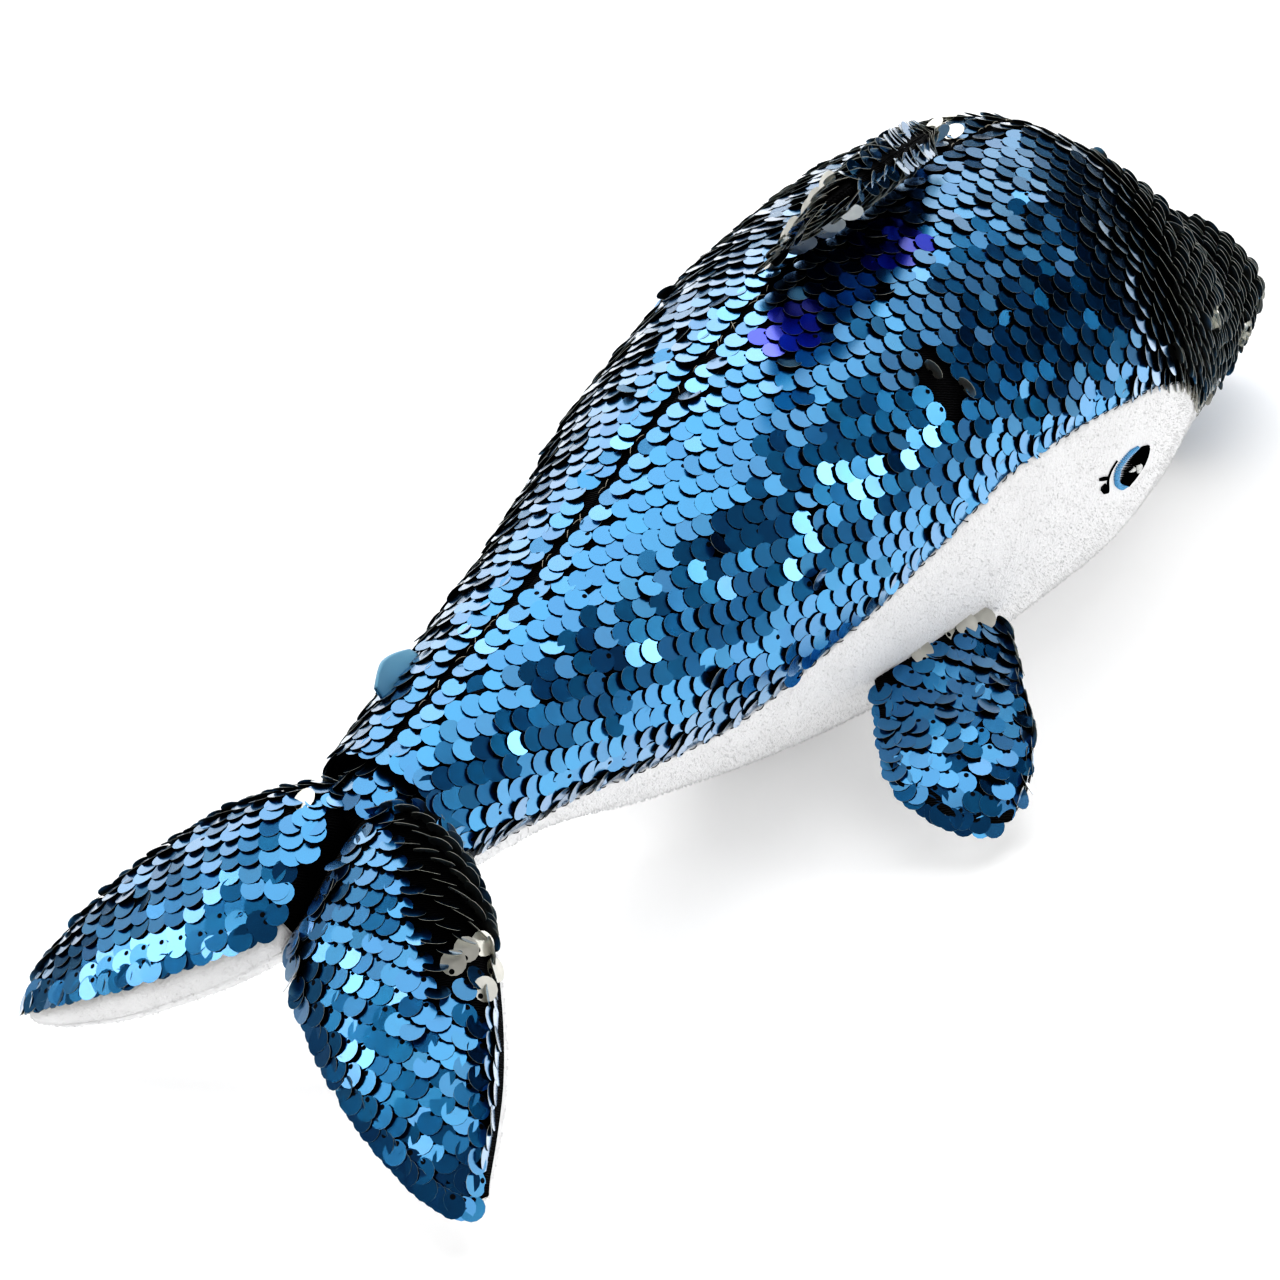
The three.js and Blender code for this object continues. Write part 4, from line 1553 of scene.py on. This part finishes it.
@dataclass
class Flukes:
    """The two tail flukes and the bare seam between them.

    Attributes:
        outline: From centre to tip: reach, front edge, rear edge, thickness and lift.
        left_hem: How much further the left fluke's rear edge stands out, row by row.
        droop: Degrees that the flukes hang from level, front to back.
        side_droop: Degrees that each hangs from the centre to its tip.
        seam_length: Length of the bare centre seam.
        seam_radius: Half that seam's thickness.
        headings: Degrees that each one's free edges point.
        rear_wrap: Share of each one's chord at which the underside's plush wraps up.
        turned: Places (reach, along) of turned sequins.
        root_bare: How far from the centre each one's rows start.
        bristle: The right one's band of sequins that the body squeezes upright.
        right_swing: Degrees that the right one's free edges turn for each metre.
    """

    outline: Array = metres(
        (0.8, -2, 37, 19, 1.5),
        (4, -2, 40, 21.5, 2),
        (9, -1.5, 45, 24, 2.5),
        (16, 1.5, 49.5, 25.5, 3),
        (26, 7, 55.5, 24.5, 3.5),
        (38, 16.5, 61, 22, 3.5),
        (47.5, 27.5, 64, 19, 3),
        (56, 40, 65.5, 15, 2),
        (61.5, 51, 65, 10, 1),
        (64, 57, 63, 5, 0),
    )
    left_hem: Array = metres(0, 1, 2, 3, 4, 3.5, 3, 2, 1, 0)
    droop: float = 22.0
    side_droop: float = 12.5
    seam_length: float = 36 * MM
    seam_radius: float = 0.95 * MM
    headings: dict[Side, float] = by_side(60.0, 86.0)
    rear_wrap: dict[Side, float] = by_side(0.96, 0.88)
    turned: dict[Side, Array] = by_side(
        np.array([(38, 20.5), (38.5, 25), (41.5, 23), (40, 29), (46, 29)]) * MM,
        np.array([(7, 11)]) * MM,
    )
    root_bare: dict[Side, float] = by_side(0.5 * MM, 1.2 * MM)
    bristle: tuple[float, float, float, float] = (0.1, 0.4, 40 * MM, 46.0)
    right_swing: float = 400.0

    def directions(self) -> tuple[Array, Array]:
        """Back along the centre seam, and square down from it."""
        turn = np.radians(self.droop)
        return np.array([-np.cos(turn), 0, -np.sin(turn)]), np.array([np.sin(turn), 0, -np.cos(turn)])

    def limbs(self) -> list[Limb]:
        """Sets out both flukes from the tail's hinge.

        Returns:
            The right one and the left one.
        """
        back, down = self.directions()
        droop = np.radians(self.side_droop)
        hem = self.left_hem[:, None] * np.array([0, 0, 1, 0, 0])
        outlines = {Side.RIGHT: self.outline, Side.LEFT: self.outline + hem}
        made = {}
        for side in Side:
            outward = np.array([0, side.value * np.cos(droop), 0]) + np.sin(droop) * down
            made[side] = Limb(
                f"{side.word}_fluke", joint_place("tail_pitch"), back, outward, -side.value,
                outlines[side], {Face.TOP: "top", Face.UNDER: "under"},
                {Face.TOP: Lie(self.headings[side])}, (0.0, self.rear_wrap[side]),
                list(self.turned[side]), root_row=1.4 * MM, root_bare=self.root_bare[side],
                overhang=1.4 * MM, bends_from="tail",
            )
        made[Side.RIGHT].bristle = self.bristle
        made[Side.RIGHT].swing = self.right_swing
        return list(made.values())

    def build_seam(self, finishes: Finishes) -> None:
        """The bare cord between the flukes.

        A circle is carried along the centre line, wavering a little as sewn cloth does.

        Args:
            finishes: The toy's finishes.
        """
        back, down = self.directions()
        along = np.linspace(0.7 * MM, self.seam_length, 40)
        waver = 0.15 * MM * np.sin(along * 900)
        middle = joint_place("tail_pitch") + along[:, None] * back - waver[:, None] * down
        mesh = thread_strands(middle[None], self.seam_radius, 12)
        piece = mesh.piece("fluke_centre_cord", [finishes.knit], tidy=True)
        sew(piece, "tail", "black_thread", "fluke_centre_seam")


@dataclass
class TailNeck:
    """Black cloth that closes the body's end and bends into the flukes.

    Attributes:
        rows: How many rings it has.
        columns: How many points each ring has.
        front: How far into the body it starts.
        front_width: Its half width there.
        front_height: Its half height there.
        rear: How far into the flukes it ends.
        rear_width: Its half width there.
        rear_height: Its half height there.
        inset: How far the cloth lies in from the sequins' own surface.
        lie: How the sequins lie on it.
    """

    rows: int = 16
    columns: int = 48
    front: float = 8 * MM
    front_width: float = 14 * MM
    front_height: float = 14.5 * MM
    rear: float = 9 * MM
    rear_width: float = 12 * MM
    rear_height: float = 10 * MM
    inset: float = 1.2 * MM
    lie: Lie = field(default_factory=lambda: Lie(0.0, lift=9.0))

    def grid(self, flukes: Flukes, turn: Array, inset: float = 0.0) -> Array:
        """Points of the neck, a ring carried from the body's oval to a flatter one in the flukes.

        Args:
            flukes: The flukes whose slope it ends on.
            turn: Angles round the ring from the left, over the top.
            inset: How far in from the sequins' own surface.

        Returns:
            The grid, from the body to the flukes.
        """
        back, down = flukes.directions()
        share = np.linspace(0, 1, self.rows)[:, None]
        width = self.front_width + (self.rear_width - self.front_width) * share - inset
        height = self.front_height + (self.rear_height - self.front_height) * share - inset
        close = np.sqrt(np.clip(1 - (2 * share - 1) ** 10, 0, 1))
        folds = close * (1 + 0.03 * np.sin(9 * turn)[None] * np.sin(np.pi * share))
        place = (self.front - (self.front + self.rear) * share)[..., None]
        middle = joint_place("tail_pitch") + np.where(place > 0, place * [1.0, 0, 0], -place * back)
        return (middle + (width * folds * np.cos(turn))[..., None] * np.array([0, 1.0, 0])
                - (height * folds * np.sin(turn))[..., None] * down)

    def build(self, flukes: Flukes, bench: Bench) -> None:
        """Makes the neck's cloth and the sequins over its upper half.

        Args:
            flukes: The flukes that it joins.
            bench: What the toy is made with.
        """
        rows, hinge = bench.rows, joint_place("tail_pitch")
        ring = self.grid(flukes, np.linspace(0, 2 * np.pi, self.columns, endpoint=False), self.inset)
        mesh = Mesh(ring.reshape(-1, 3), grid_quads(self.rows, self.columns, ring=True))
        cloth = mesh.piece("tail_neck", [bench.finishes.knit], tidy=True)
        arch = self.grid(flukes, np.linspace(-0.35, np.pi + 0.35, 31))
        patch = Patch(arch[1:-1], hinge, 15)
        s, y, heading = rows.lattice(patch, self.lie)
        found = patch.locate(s, y)
        keep = (y > found["low"]) & (y < found["high"]) & (s < patch.s[-1] - rows.radius)
        found = {name: values[keep] for name, values in found.items()}
        lift = np.full(keep.sum(), self.lie.lift)
        mesh = rows.mesh(found, heading[keep], lift, bench.chance)
        sequins = mesh.piece("tail_neck_sequins", bench.finishes.sequin, smooth=False)
        for piece, fill in ((cloth, 0.6), (sequins, None)):
            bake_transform(piece)
            dress(piece, "sequin_cloth", fill=fill)


@dataclass
class Flippers:
    """The two flippers, sequins above and plush below.

    Attributes:
        outline: From root to tip: reach, front edge, rear edge, thickness and lift.
        droop: Degrees that they hang from level.
        headings: Degrees that each one's free edges point.
    """

    outline: Array = metres(
        (-5, 15, -17, 9, 1.5),
        (0, 18, -20.5, 10, 1.2),
        (8, 15, -26.5, 10, 0.8),
        (16, 9, -32, 10.5, 1.5),
        (22, 5, -34.5, 10.5, 1.5),
        (28, 0.5, -33, 10, 1.2),
        (34, -5.5, -30.5, 8.5, 0.8),
        (38, -11, -27, 6.5, 0.4),
        (40, -15.5, -23.5, 4, 0),
    )
    droop: float = 24.0
    headings: dict[Side, float] = by_side(40.0, 50.0)

    def limbs(self) -> list[Limb]:
        """Sets out both flippers from their hinges.

        Returns:
            The right one and the left one.
        """
        droop = np.radians(self.droop)
        made = []
        for side in Side:
            joint = f"{side.word}_flipper_flap"
            outward = np.array([0, side.value * np.cos(droop), -np.sin(droop)])
            made.append(Limb(
                f"{side.word}_flipper", joint_place(joint), joint_axis(joint) * side.value, outward,
                side.value, self.outline, {Face.TOP: "top", Face.UNDER: "under"},
                {Face.TOP: Lie(self.headings[side], lift=4.0)},
                root_turned=0.6, root_row=5 * MM, root_stray=24.0, root_bare=3.5 * MM,
            ))
        return made


@dataclass
class DorsalFin:
    """The fin, sequined on both sides, flopped over to the right.

    Attributes:
        outline: From root to tip: reach, front edge, rear edge, thickness and lift.
        lean: Degrees that it leans from upright.
        turned: Places (reach, along) of turned sequins.
    """

    outline: Array = metres(
        (-3, 30, -30, 1.8, 0),
        (0, 30, -30, 2.6, 0),
        (6, 26, -30, 5.5, 0),
        (12, 19, -31, 8.5, 0),
        (18, 11, -33, 9.5, 0),
        (24, 1, -35.5, 9, 0),
        (29, -9, -37.5, 7.5, 0),
        (32, -18, -38, 5.5, 0),
        (34, -25, -36.5, 4, 0),
    )
    lean: float = 48.0
    turned: Array = metres((5, -27), (9.5, -26), (14, -25), (20, -26), (26, -28), (4, 27))

    def limb(self) -> Limb:
        """Sets out the fin from its hinge.

        Returns:
            The fin, whose along cross outward points to its right face.
        """
        lean = np.radians(self.lean)
        outward = np.array([0, -np.sin(lean), np.cos(lean)])
        return Limb(
            "dorsal_fin", joint_place("dorsal_fin_flop"), joint_axis("dorsal_fin_flop"), outward, 1,
            self.outline, {Face.TOP: "right", Face.UNDER: "left"},
            {Face.TOP: Lie(70.0, lift=13.0), Face.UNDER: Lie(70.0, lift=18.0)},
            turned=list(self.turned), turned_lift=140.0, root_row=1.4 * MM,
        )


@dataclass
class Eye:
    """An embroidered eye, drawn on the flat plush and sewn in satin stitch.

    Outlines are points (forward, up) from the eye's middle.

    Attributes:
        side: Which flank.
        x: Its place along the body from the tail crease.
        angle: Degrees round from the back.
        thread: Half a thread's thickness.
    """

    side: Side
    x: float = 182 * MM
    angle: float = 104.0
    thread: float = 0.2 * MM

    def middle(self, body: Body) -> Array:
        """The eye's middle on the plush."""
        return body.skin(np.array(self.x), np.array(self.angle), self.side)

    def on_plush(self, body: Body, spots: Array, raised: Array | float) -> Array:
        """Lays drawn points on the plush.

        Args:
            body: The body that carries the eye.
            spots: Points (forward, up) from the eye's middle.
            raised: How far above the plush each lies.

        Returns:
            Their places.
        """
        start, across = body.spot(self.side, self.x, self.angle)
        forward, up = spots[..., 0].ravel(), spots[..., 1].ravel()
        found = body.flanks[self.side].locate(start + forward, across - up)
        raised = np.broadcast_to(raised, spots.shape[:-1]).ravel()[:, None]
        return (found["point"] + raised * found["normal"]).reshape(*spots.shape[:-1], 3)

    def satin(self, body: Body, name: str, first: Array, second: Array,
              count: int, raised: float, finish: Material, slot: str, node: str) -> None:
        """Fills the band between two lines with threads laid side by side from one to the other.

        Args:
            body: The body that carries the eye.
            name: The piece's name.
            first: Points of the line that the threads start on.
            second: Points of the line that they end on.
            count: How many threads.
            raised: How far the threads arch above the plush.
            finish: The thread's finish.
            slot: The record's material slot.
            node: The node that the piece stands for.
        """
        share = np.linspace(0, 1, count)
        starts, ends = (self.along_line(line, share) for line in (first, second))
        part = np.linspace(0, 1, 7)[None, :, None]
        spots = starts[:, None] * (1 - part) + ends[:, None] * part
        arch = raised * np.sqrt(np.clip(1 - (2 * part[..., 0] - 1) ** 4, 0, 1)) - 0.1 * MM
        paths = self.on_plush(body, spots, np.broadcast_to(arch, spots.shape[:2]))
        mesh = thread_strands(paths, self.thread, 6)
        piece = mesh.piece(f"{self.side.word}_eye_{name}_stitches", [finish], tidy=True)
        sew(piece, "body", slot, f"{self.side.word}_eye_{node}")

    @staticmethod
    def along_line(line: Array, share: Array) -> Array:
        """Reads a smooth line through points at shares of its length.

        Args:
            line: The points.
            share: The shares.

        Returns:
            The places there.
        """
        step = np.linalg.norm(np.diff(line, axis=0), axis=1)
        place = np.concatenate([[0], np.cumsum(step)]) / step.sum()
        return np.stack([smooth_line(place, line[:, k], share) for k in range(2)], axis=-1)

    def build(self, body: Body, finishes: Finishes) -> None:
        """Sews the outline, iris, pupil, glints and lashes.

        Args:
            body: The body that carries the eye.
            finishes: The toy's finishes.
        """
        sewn = (
            ("iris", "iris", "blue", 44, 0.45,
             [(2.4, 4.4), (-0.9, 5.2), (-3.1, 4.7), (-5.1, 3.6), (-5.6, 1.9), (-4.8, -1.2),
              (-2.5, -4.5), (0.2, -6.7), (2.2, -7.0)],
             [(3.0, 3.3), (0.6, 3.1), (-1.7, 2.4), (-3.0, 1.0), (-2.9, -1.3), (-1.5, -3.6),
              (2.2, -6.7)]),
            ("pupil", "pupil", "black", 40, 0.55,
             [(6.9, 1.8), (3.0, 3.3), (0.4, 3.1), (-1.8, 2.5), (-3.2, 1.0), (-3.1, -1.3),
              (-1.7, -3.6), (2.1, -6.8)],
             [(7.2, 1.4), (8.4, -0.6), (8.9, -2.6), (8.5, -4.4), (7.2, -5.9), (5.2, -6.7), (2.3, -6.9)]),
            ("highlight", "highlight", "white", 11, 0.95,
             [(2.4, -0.9), (2.9, -2.4), (3.7, -3.8)], [(4.8, -1.9), (5.7, -3.1), (5.4, -4.2)]),
            ("small_highlight", "highlight", "white", 6, 0.95,
             [(-0.5, -0.8), (0.2, -1.3), (1.0, -1.7)], [(1.7, -0.5), (2.2, -1.0), (2.7, -1.8)]),
            ("outline", "rim", "black", 30, 0.35,
             [(-5.2, 5.3), (-6.9, 3.8), (-7.6, 1.7), (-6.8, -2.0)],
             [(-5.0, 5.1), (-6.6, 3.6), (-7.2, 1.7), (-6.4, -2.0)]),
            ("upper_lash", "lash", "black", 9, 0.4,
             [(-7.6, 2.6), (-9.2, 3.6), (-10.5, 4.0)], [(-7.7, 1.9), (-9.0, 2.4), (-10.4, 3.3)]),
            ("lower_lash", "lash", "black", 11, 0.4,
             [(-6.9, -0.8), (-8.4, 1.2), (-9.4, 1.0)], [(-6.5, -2.9), (-7.7, -2.5), (-9.4, -0.2)]),
        )
        for name, node, colour, count, raised, first, second in sewn:
            finish = getattr(finishes, colour)
            lines = (np.array(line) * MM for line in (first, second))
            self.satin(body, name, *lines, count, raised * MM, finish, f"{colour}_thread", node)


@dataclass
class RibbonLabel:
    """A loop of plain satin ribbon sewn into the left flank.

    Attributes:
        x: Its place along the body from the tail crease.
        angle: Degrees round from the back.
        width: The ribbon's width.
        reach: How far the loop stands out.
        gap: Half the loop's thickness at its fold.
        thickness: The ribbon's thickness.
    """

    x: float = 20 * MM
    angle: float = 34.0
    width: float = 13 * MM
    reach: float = 4.8 * MM
    gap: float = 0.6 * MM
    thickness: float = 0.22 * MM

    def build(self, body: Body, finishes: Finishes) -> None:
        """Carries a hairpin profile along the ribbon's width, waving a little at its fold.

        Args:
            body: The body that carries the label.
            finishes: The toy's finishes.
        """
        s, y = body.spot(Side.LEFT, self.x, self.angle)
        found = body.flanks[Side.LEFT].locate(np.array([s]), np.array([y]))
        point, normal, along = found["point"][0], found["normal"][0], found["along"][0]
        across = np.cross(normal, along)
        turn = np.linspace(-np.pi / 2, np.pi / 2, 9)
        straight = np.linspace(-1.5 * MM, self.reach - self.gap, 10)
        fold = turn[1:-1]
        level = np.full(len(straight), self.gap)
        out = np.concatenate([straight, straight[-1] + self.gap * np.cos(fold), straight[::-1]])
        aside = np.concatenate([-level, self.gap * np.sin(fold), level])
        beside = np.linspace(-0.5, 0.5, 21)
        wave = 0.8 * MM * np.sin(3.4 * beside)[:, None] * (out / self.reach)[None]
        reach = out[None] * (1 - 0.55 * np.abs(2 * beside[:, None] + 0.15) ** 1.6)
        spine = point + beside[:, None, None] * self.width * along
        points = spine + reach[..., None] * normal + (aside[None] + wave)[..., None] * across
        ribbon = Patch(points, points.mean((0, 1)), 0)
        mesh = cloth_sheet(points, ribbon.sunk(self.thickness))
        piece = mesh.piece("ribbon_label", [finishes.satin], tidy=True)
        sew(piece, "body", "satin_label", "sewn_label")


@dataclass
class Studio:
    """A pale floor, soft lights and the camera.

    Attributes:
        camera_place: Where the camera stands.
        azimuth: Degrees round from looking along +Y.
        elevation: Degrees that it looks down.
        roll: Degrees that it is turned about its own view.
        lens: Focal length for a 36 mm wide picture, in millimetres.
        ambient: Brightness of the air all round.
        dim: Brightness of its dim part.
        dim_direction: Degrees round from +X towards +Y, and degrees up, of the dim part's middle.
        dim_spread: Degrees from that middle at which it starts to brighten, and is full again.
        toe: Tones before and after the darkest are drawn down.
        lamps: Name, direction, distance, size and brightness of each soft light.
        wash: The same of one that shiny things don't show.
        card: Place, size and brightness of the card on the floor.
    """

    camera_place: tuple[float, float, float] = (-0.54516, -0.50623, 0.48238)
    azimuth: float = -44.6
    elevation: float = 31.6
    roll: float = -9.7
    lens: float = 109.8
    ambient: float = 0.22
    dim: float = 0.03
    dim_direction: Pair = (-12.0, 10.0)
    dim_spread: Pair = (25.0, 60.0)
    toe: tuple[Pair, ...] = ((0.012, 0.002), (0.035, 0.012), (0.12, 0.09), (0.35, 0.345))
    lamps: tuple[tuple, ...] = (
        ("overhead", (15.0, 78.0), 2.2, (2.5, 2.5), 2.2),
        ("backdrop", (60.0, 28.0), 2.4, (1.8, 2.0), 2.0),
        ("far_wall", (24.0, 38.0), 2.4, (1.4, 1.6), 1.8),
        ("window", (-22.0, 38.0), 2.4, (0.8, 0.4), 1.6),
        ("key", (-58.0, 25.0), 2.2, (0.5, 0.5), 9.0),
        ("fill", (-68.0, 19.0), 2.5, (1.8, 1.2), 0.4),
        ("side", (122.0, 38.0), 2.3, (0.6, 0.75), 7.0),
        ("far_side", (166.0, 44.0), 2.3, (0.5, 0.5), 7.0),
        ("side_wall", (95.0, 34.0), 2.6, (1.4, 1.4), 0.8),
    )
    wash: tuple = ("wash", (-110.0, 32.0), 2.5, (2.0, 2.0), 0.85)
    card: tuple = ((0.12, -0.27), (0.7, 0.5), 0.8)

    def build(self) -> None:
        """Makes the floor, the lights and the camera."""
        self.build_floor()
        for lamp in self.lamps:
            self.soft_light(*lamp)
        self.soft_light(*self.wash, mirrored=False)
        self.floor_card(*self.card)
        self.build_air()
        self.build_tones()
        self.build_camera()

    def build_tones(self) -> None:
        """Plain colours, with the darkest tones drawn down as a studio print has them."""
        view = bpy.context.scene.view_settings
        view.view_transform = "Standard"
        view.use_curve_mapping = True
        tones = view.curve_mapping.curves[3]
        for place, value in self.toe:
            tones.points.new(place, value)
        view.curve_mapping.update()

    def build_air(self) -> None:
        """Even light from all round, dim beyond the beak where the room is dark."""
        world = bpy.data.worlds.new("studio_air")
        world.use_nodes = True
        tree = world.node_tree
        place = tree.nodes.new("ShaderNodeTexCoord")
        facing = tree.nodes.new("ShaderNodeVectorMath")
        facing.operation = "DOT_PRODUCT"
        facing.inputs[1].default_value = tuple(direction_of(self.dim_direction))
        span = tree.nodes.new("ShaderNodeMapRange")
        span.interpolation_type = "SMOOTHSTEP"
        limits = (np.cos(np.radians(self.dim_spread[1])), np.cos(np.radians(self.dim_spread[0])))
        sockets = ("From Min", "From Max", "To Min", "To Max")
        for name, value in zip(sockets, (*limits, self.ambient, self.dim)):
            span.inputs[name].default_value = value
        air = tree.nodes["Background"]
        tree.links.new(place.outputs["Generated"], facing.inputs[0])
        tree.links.new(facing.outputs["Value"], span.inputs["Value"])
        tree.links.new(span.outputs["Result"], air.inputs["Strength"])
        air.inputs["Color"].default_value = (1.0, 1.0, 1.0, 1.0)
        bpy.context.scene.world = world

    def build_floor(self) -> None:
        """A wide flat sheet of pale paper."""
        nodes = Nodes("pale_floor", Roughness=0.9, Specular_IOR_Level=0.15,
                      Emission_Color=(1.0, 1.0, 1.0, 1.0), Emission_Strength=0.2)
        nodes.paint(nodes.noise(40.0, 2.0), [(0.0, (0.86, 0.86, 0.86)), (1.0, (0.9, 0.9, 0.9))])
        edge = np.linspace(-4, 4, 9)
        x, y = np.meshgrid(edge, edge, indexing="ij")
        points = np.stack([x, y, np.zeros_like(x)], axis=-1).reshape(-1, 3)
        floor = Mesh(points, grid_quads(9, 9)[:, ::-1]).piece("floor", [nodes.material])

    def soft_light(self, name: str, direction: Pair, distance: float,
                   size: Pair, brightness: float, mirrored: bool = True) -> None:
        """A soft box that looks at the toy.

        Args:
            name: The light's name.
            direction: Degrees round from +X towards +Y, and degrees up.
            distance: How far from the toy it stands.
            size: Its width and height.
            brightness: How bright its face is.
            mirrored: Whether shiny things show it.
        """
        towards = direction_of(direction)
        across = unit(np.cross([0, 0, 1.0], towards))
        axes = np.column_stack([across, np.cross(towards, across), towards])
        place = self.stand(axes, towards * distance + [0, 0, 0.06])
        self.lamp(name, size, brightness, place).visible_glossy = mirrored

    def floor_card(self, place: Pair, size: Pair, brightness: float) -> None:
        """A bright card lying on the floor, which only shiny things show.

        Args:
            place: Where its middle lies.
            size: Its width and length.
            brightness: How bright its face is.
        """
        lying = self.stand(np.diag([1.0, -1.0, -1.0]), np.array([*place, 1 * MM]))
        card = self.lamp("floor_card", size, brightness, lying)
        card.visible_camera = False
        card.visible_diffuse = False

    @staticmethod
    def lamp(name: str, size: Pair, brightness: float, place: Matrix) -> Object:
        """A flat lamp, whose power is its brightness times pi times its area.

        Args:
            name: The lamp's name.
            size: Its width and height.
            brightness: How bright its face is.
            place: Its placing matrix; it shines along its own -Z.

        Returns:
            The lamp.
        """
        light = bpy.data.lights.new(name, "AREA")
        light.shape = "RECTANGLE"
        light.size, light.size_y = size
        light.energy = brightness * np.pi * size[0] * size[1]
        thing = put(name, light)
        thing.matrix_world = place
        return thing

    def build_camera(self) -> None:
        """The camera at the picture's viewing angle."""
        turn, rise, roll = np.radians([self.azimuth, self.elevation, self.roll])
        back = np.array([np.sin(turn) * np.cos(rise), -np.cos(turn) * np.cos(rise), np.sin(rise)])
        across = unit(np.cross([0, 0, 1.0], back))
        up = np.cross(back, across)
        axes = np.column_stack([*rotated(across, up, roll), back])
        lens = bpy.data.cameras.new("camera")
        lens.sensor_width = 36.0
        lens.lens = self.lens
        lens.clip_start = 0.01
        camera = put("camera", lens)
        camera.matrix_world = self.stand(axes, np.array(self.camera_place))
        bpy.context.scene.camera = camera

    @staticmethod
    def stand(axes: Array, place: Array) -> Matrix:
        """A placing matrix from three axes, one to a column, and a place."""
        return Matrix(np.vstack([np.column_stack([axes, place]), [0, 0, 0, 1]]).tolist())


def main() -> None:
    """Builds the studio, then the toy piece by piece, logging each piece's face count."""
    logging.basicConfig(level=logging.INFO, format="%(name)s: %(message)s")
    bench, body, flukes = Bench(), Body(), Flukes()
    Studio().build()
    body.build_cloth(bench.finishes)
    body.build_sequins(bench)
    body.build_seams(bench)
    eyes = [Eye(side) for side in Side]
    body.build_pile(bench, [eye.middle(body) for eye in eyes])
    for eye in eyes:
        eye.build(body, bench.finishes)
    loose, ruffled = bench.strewn(3.5, 3.5, 5.0), bench.strewn(6.0, 6.0, 8.0)
    for limb in [*flukes.limbs(), DorsalFin().limb()]:
        limb.build(loose)
    for limb in Flippers().limbs():
        limb.build(ruffled)
    flukes.build_seam(bench.finishes)
    TailNeck().build(flukes, bench)
    RibbonLabel().build(body, bench.finishes)


if __name__ == "__main__":
    main()
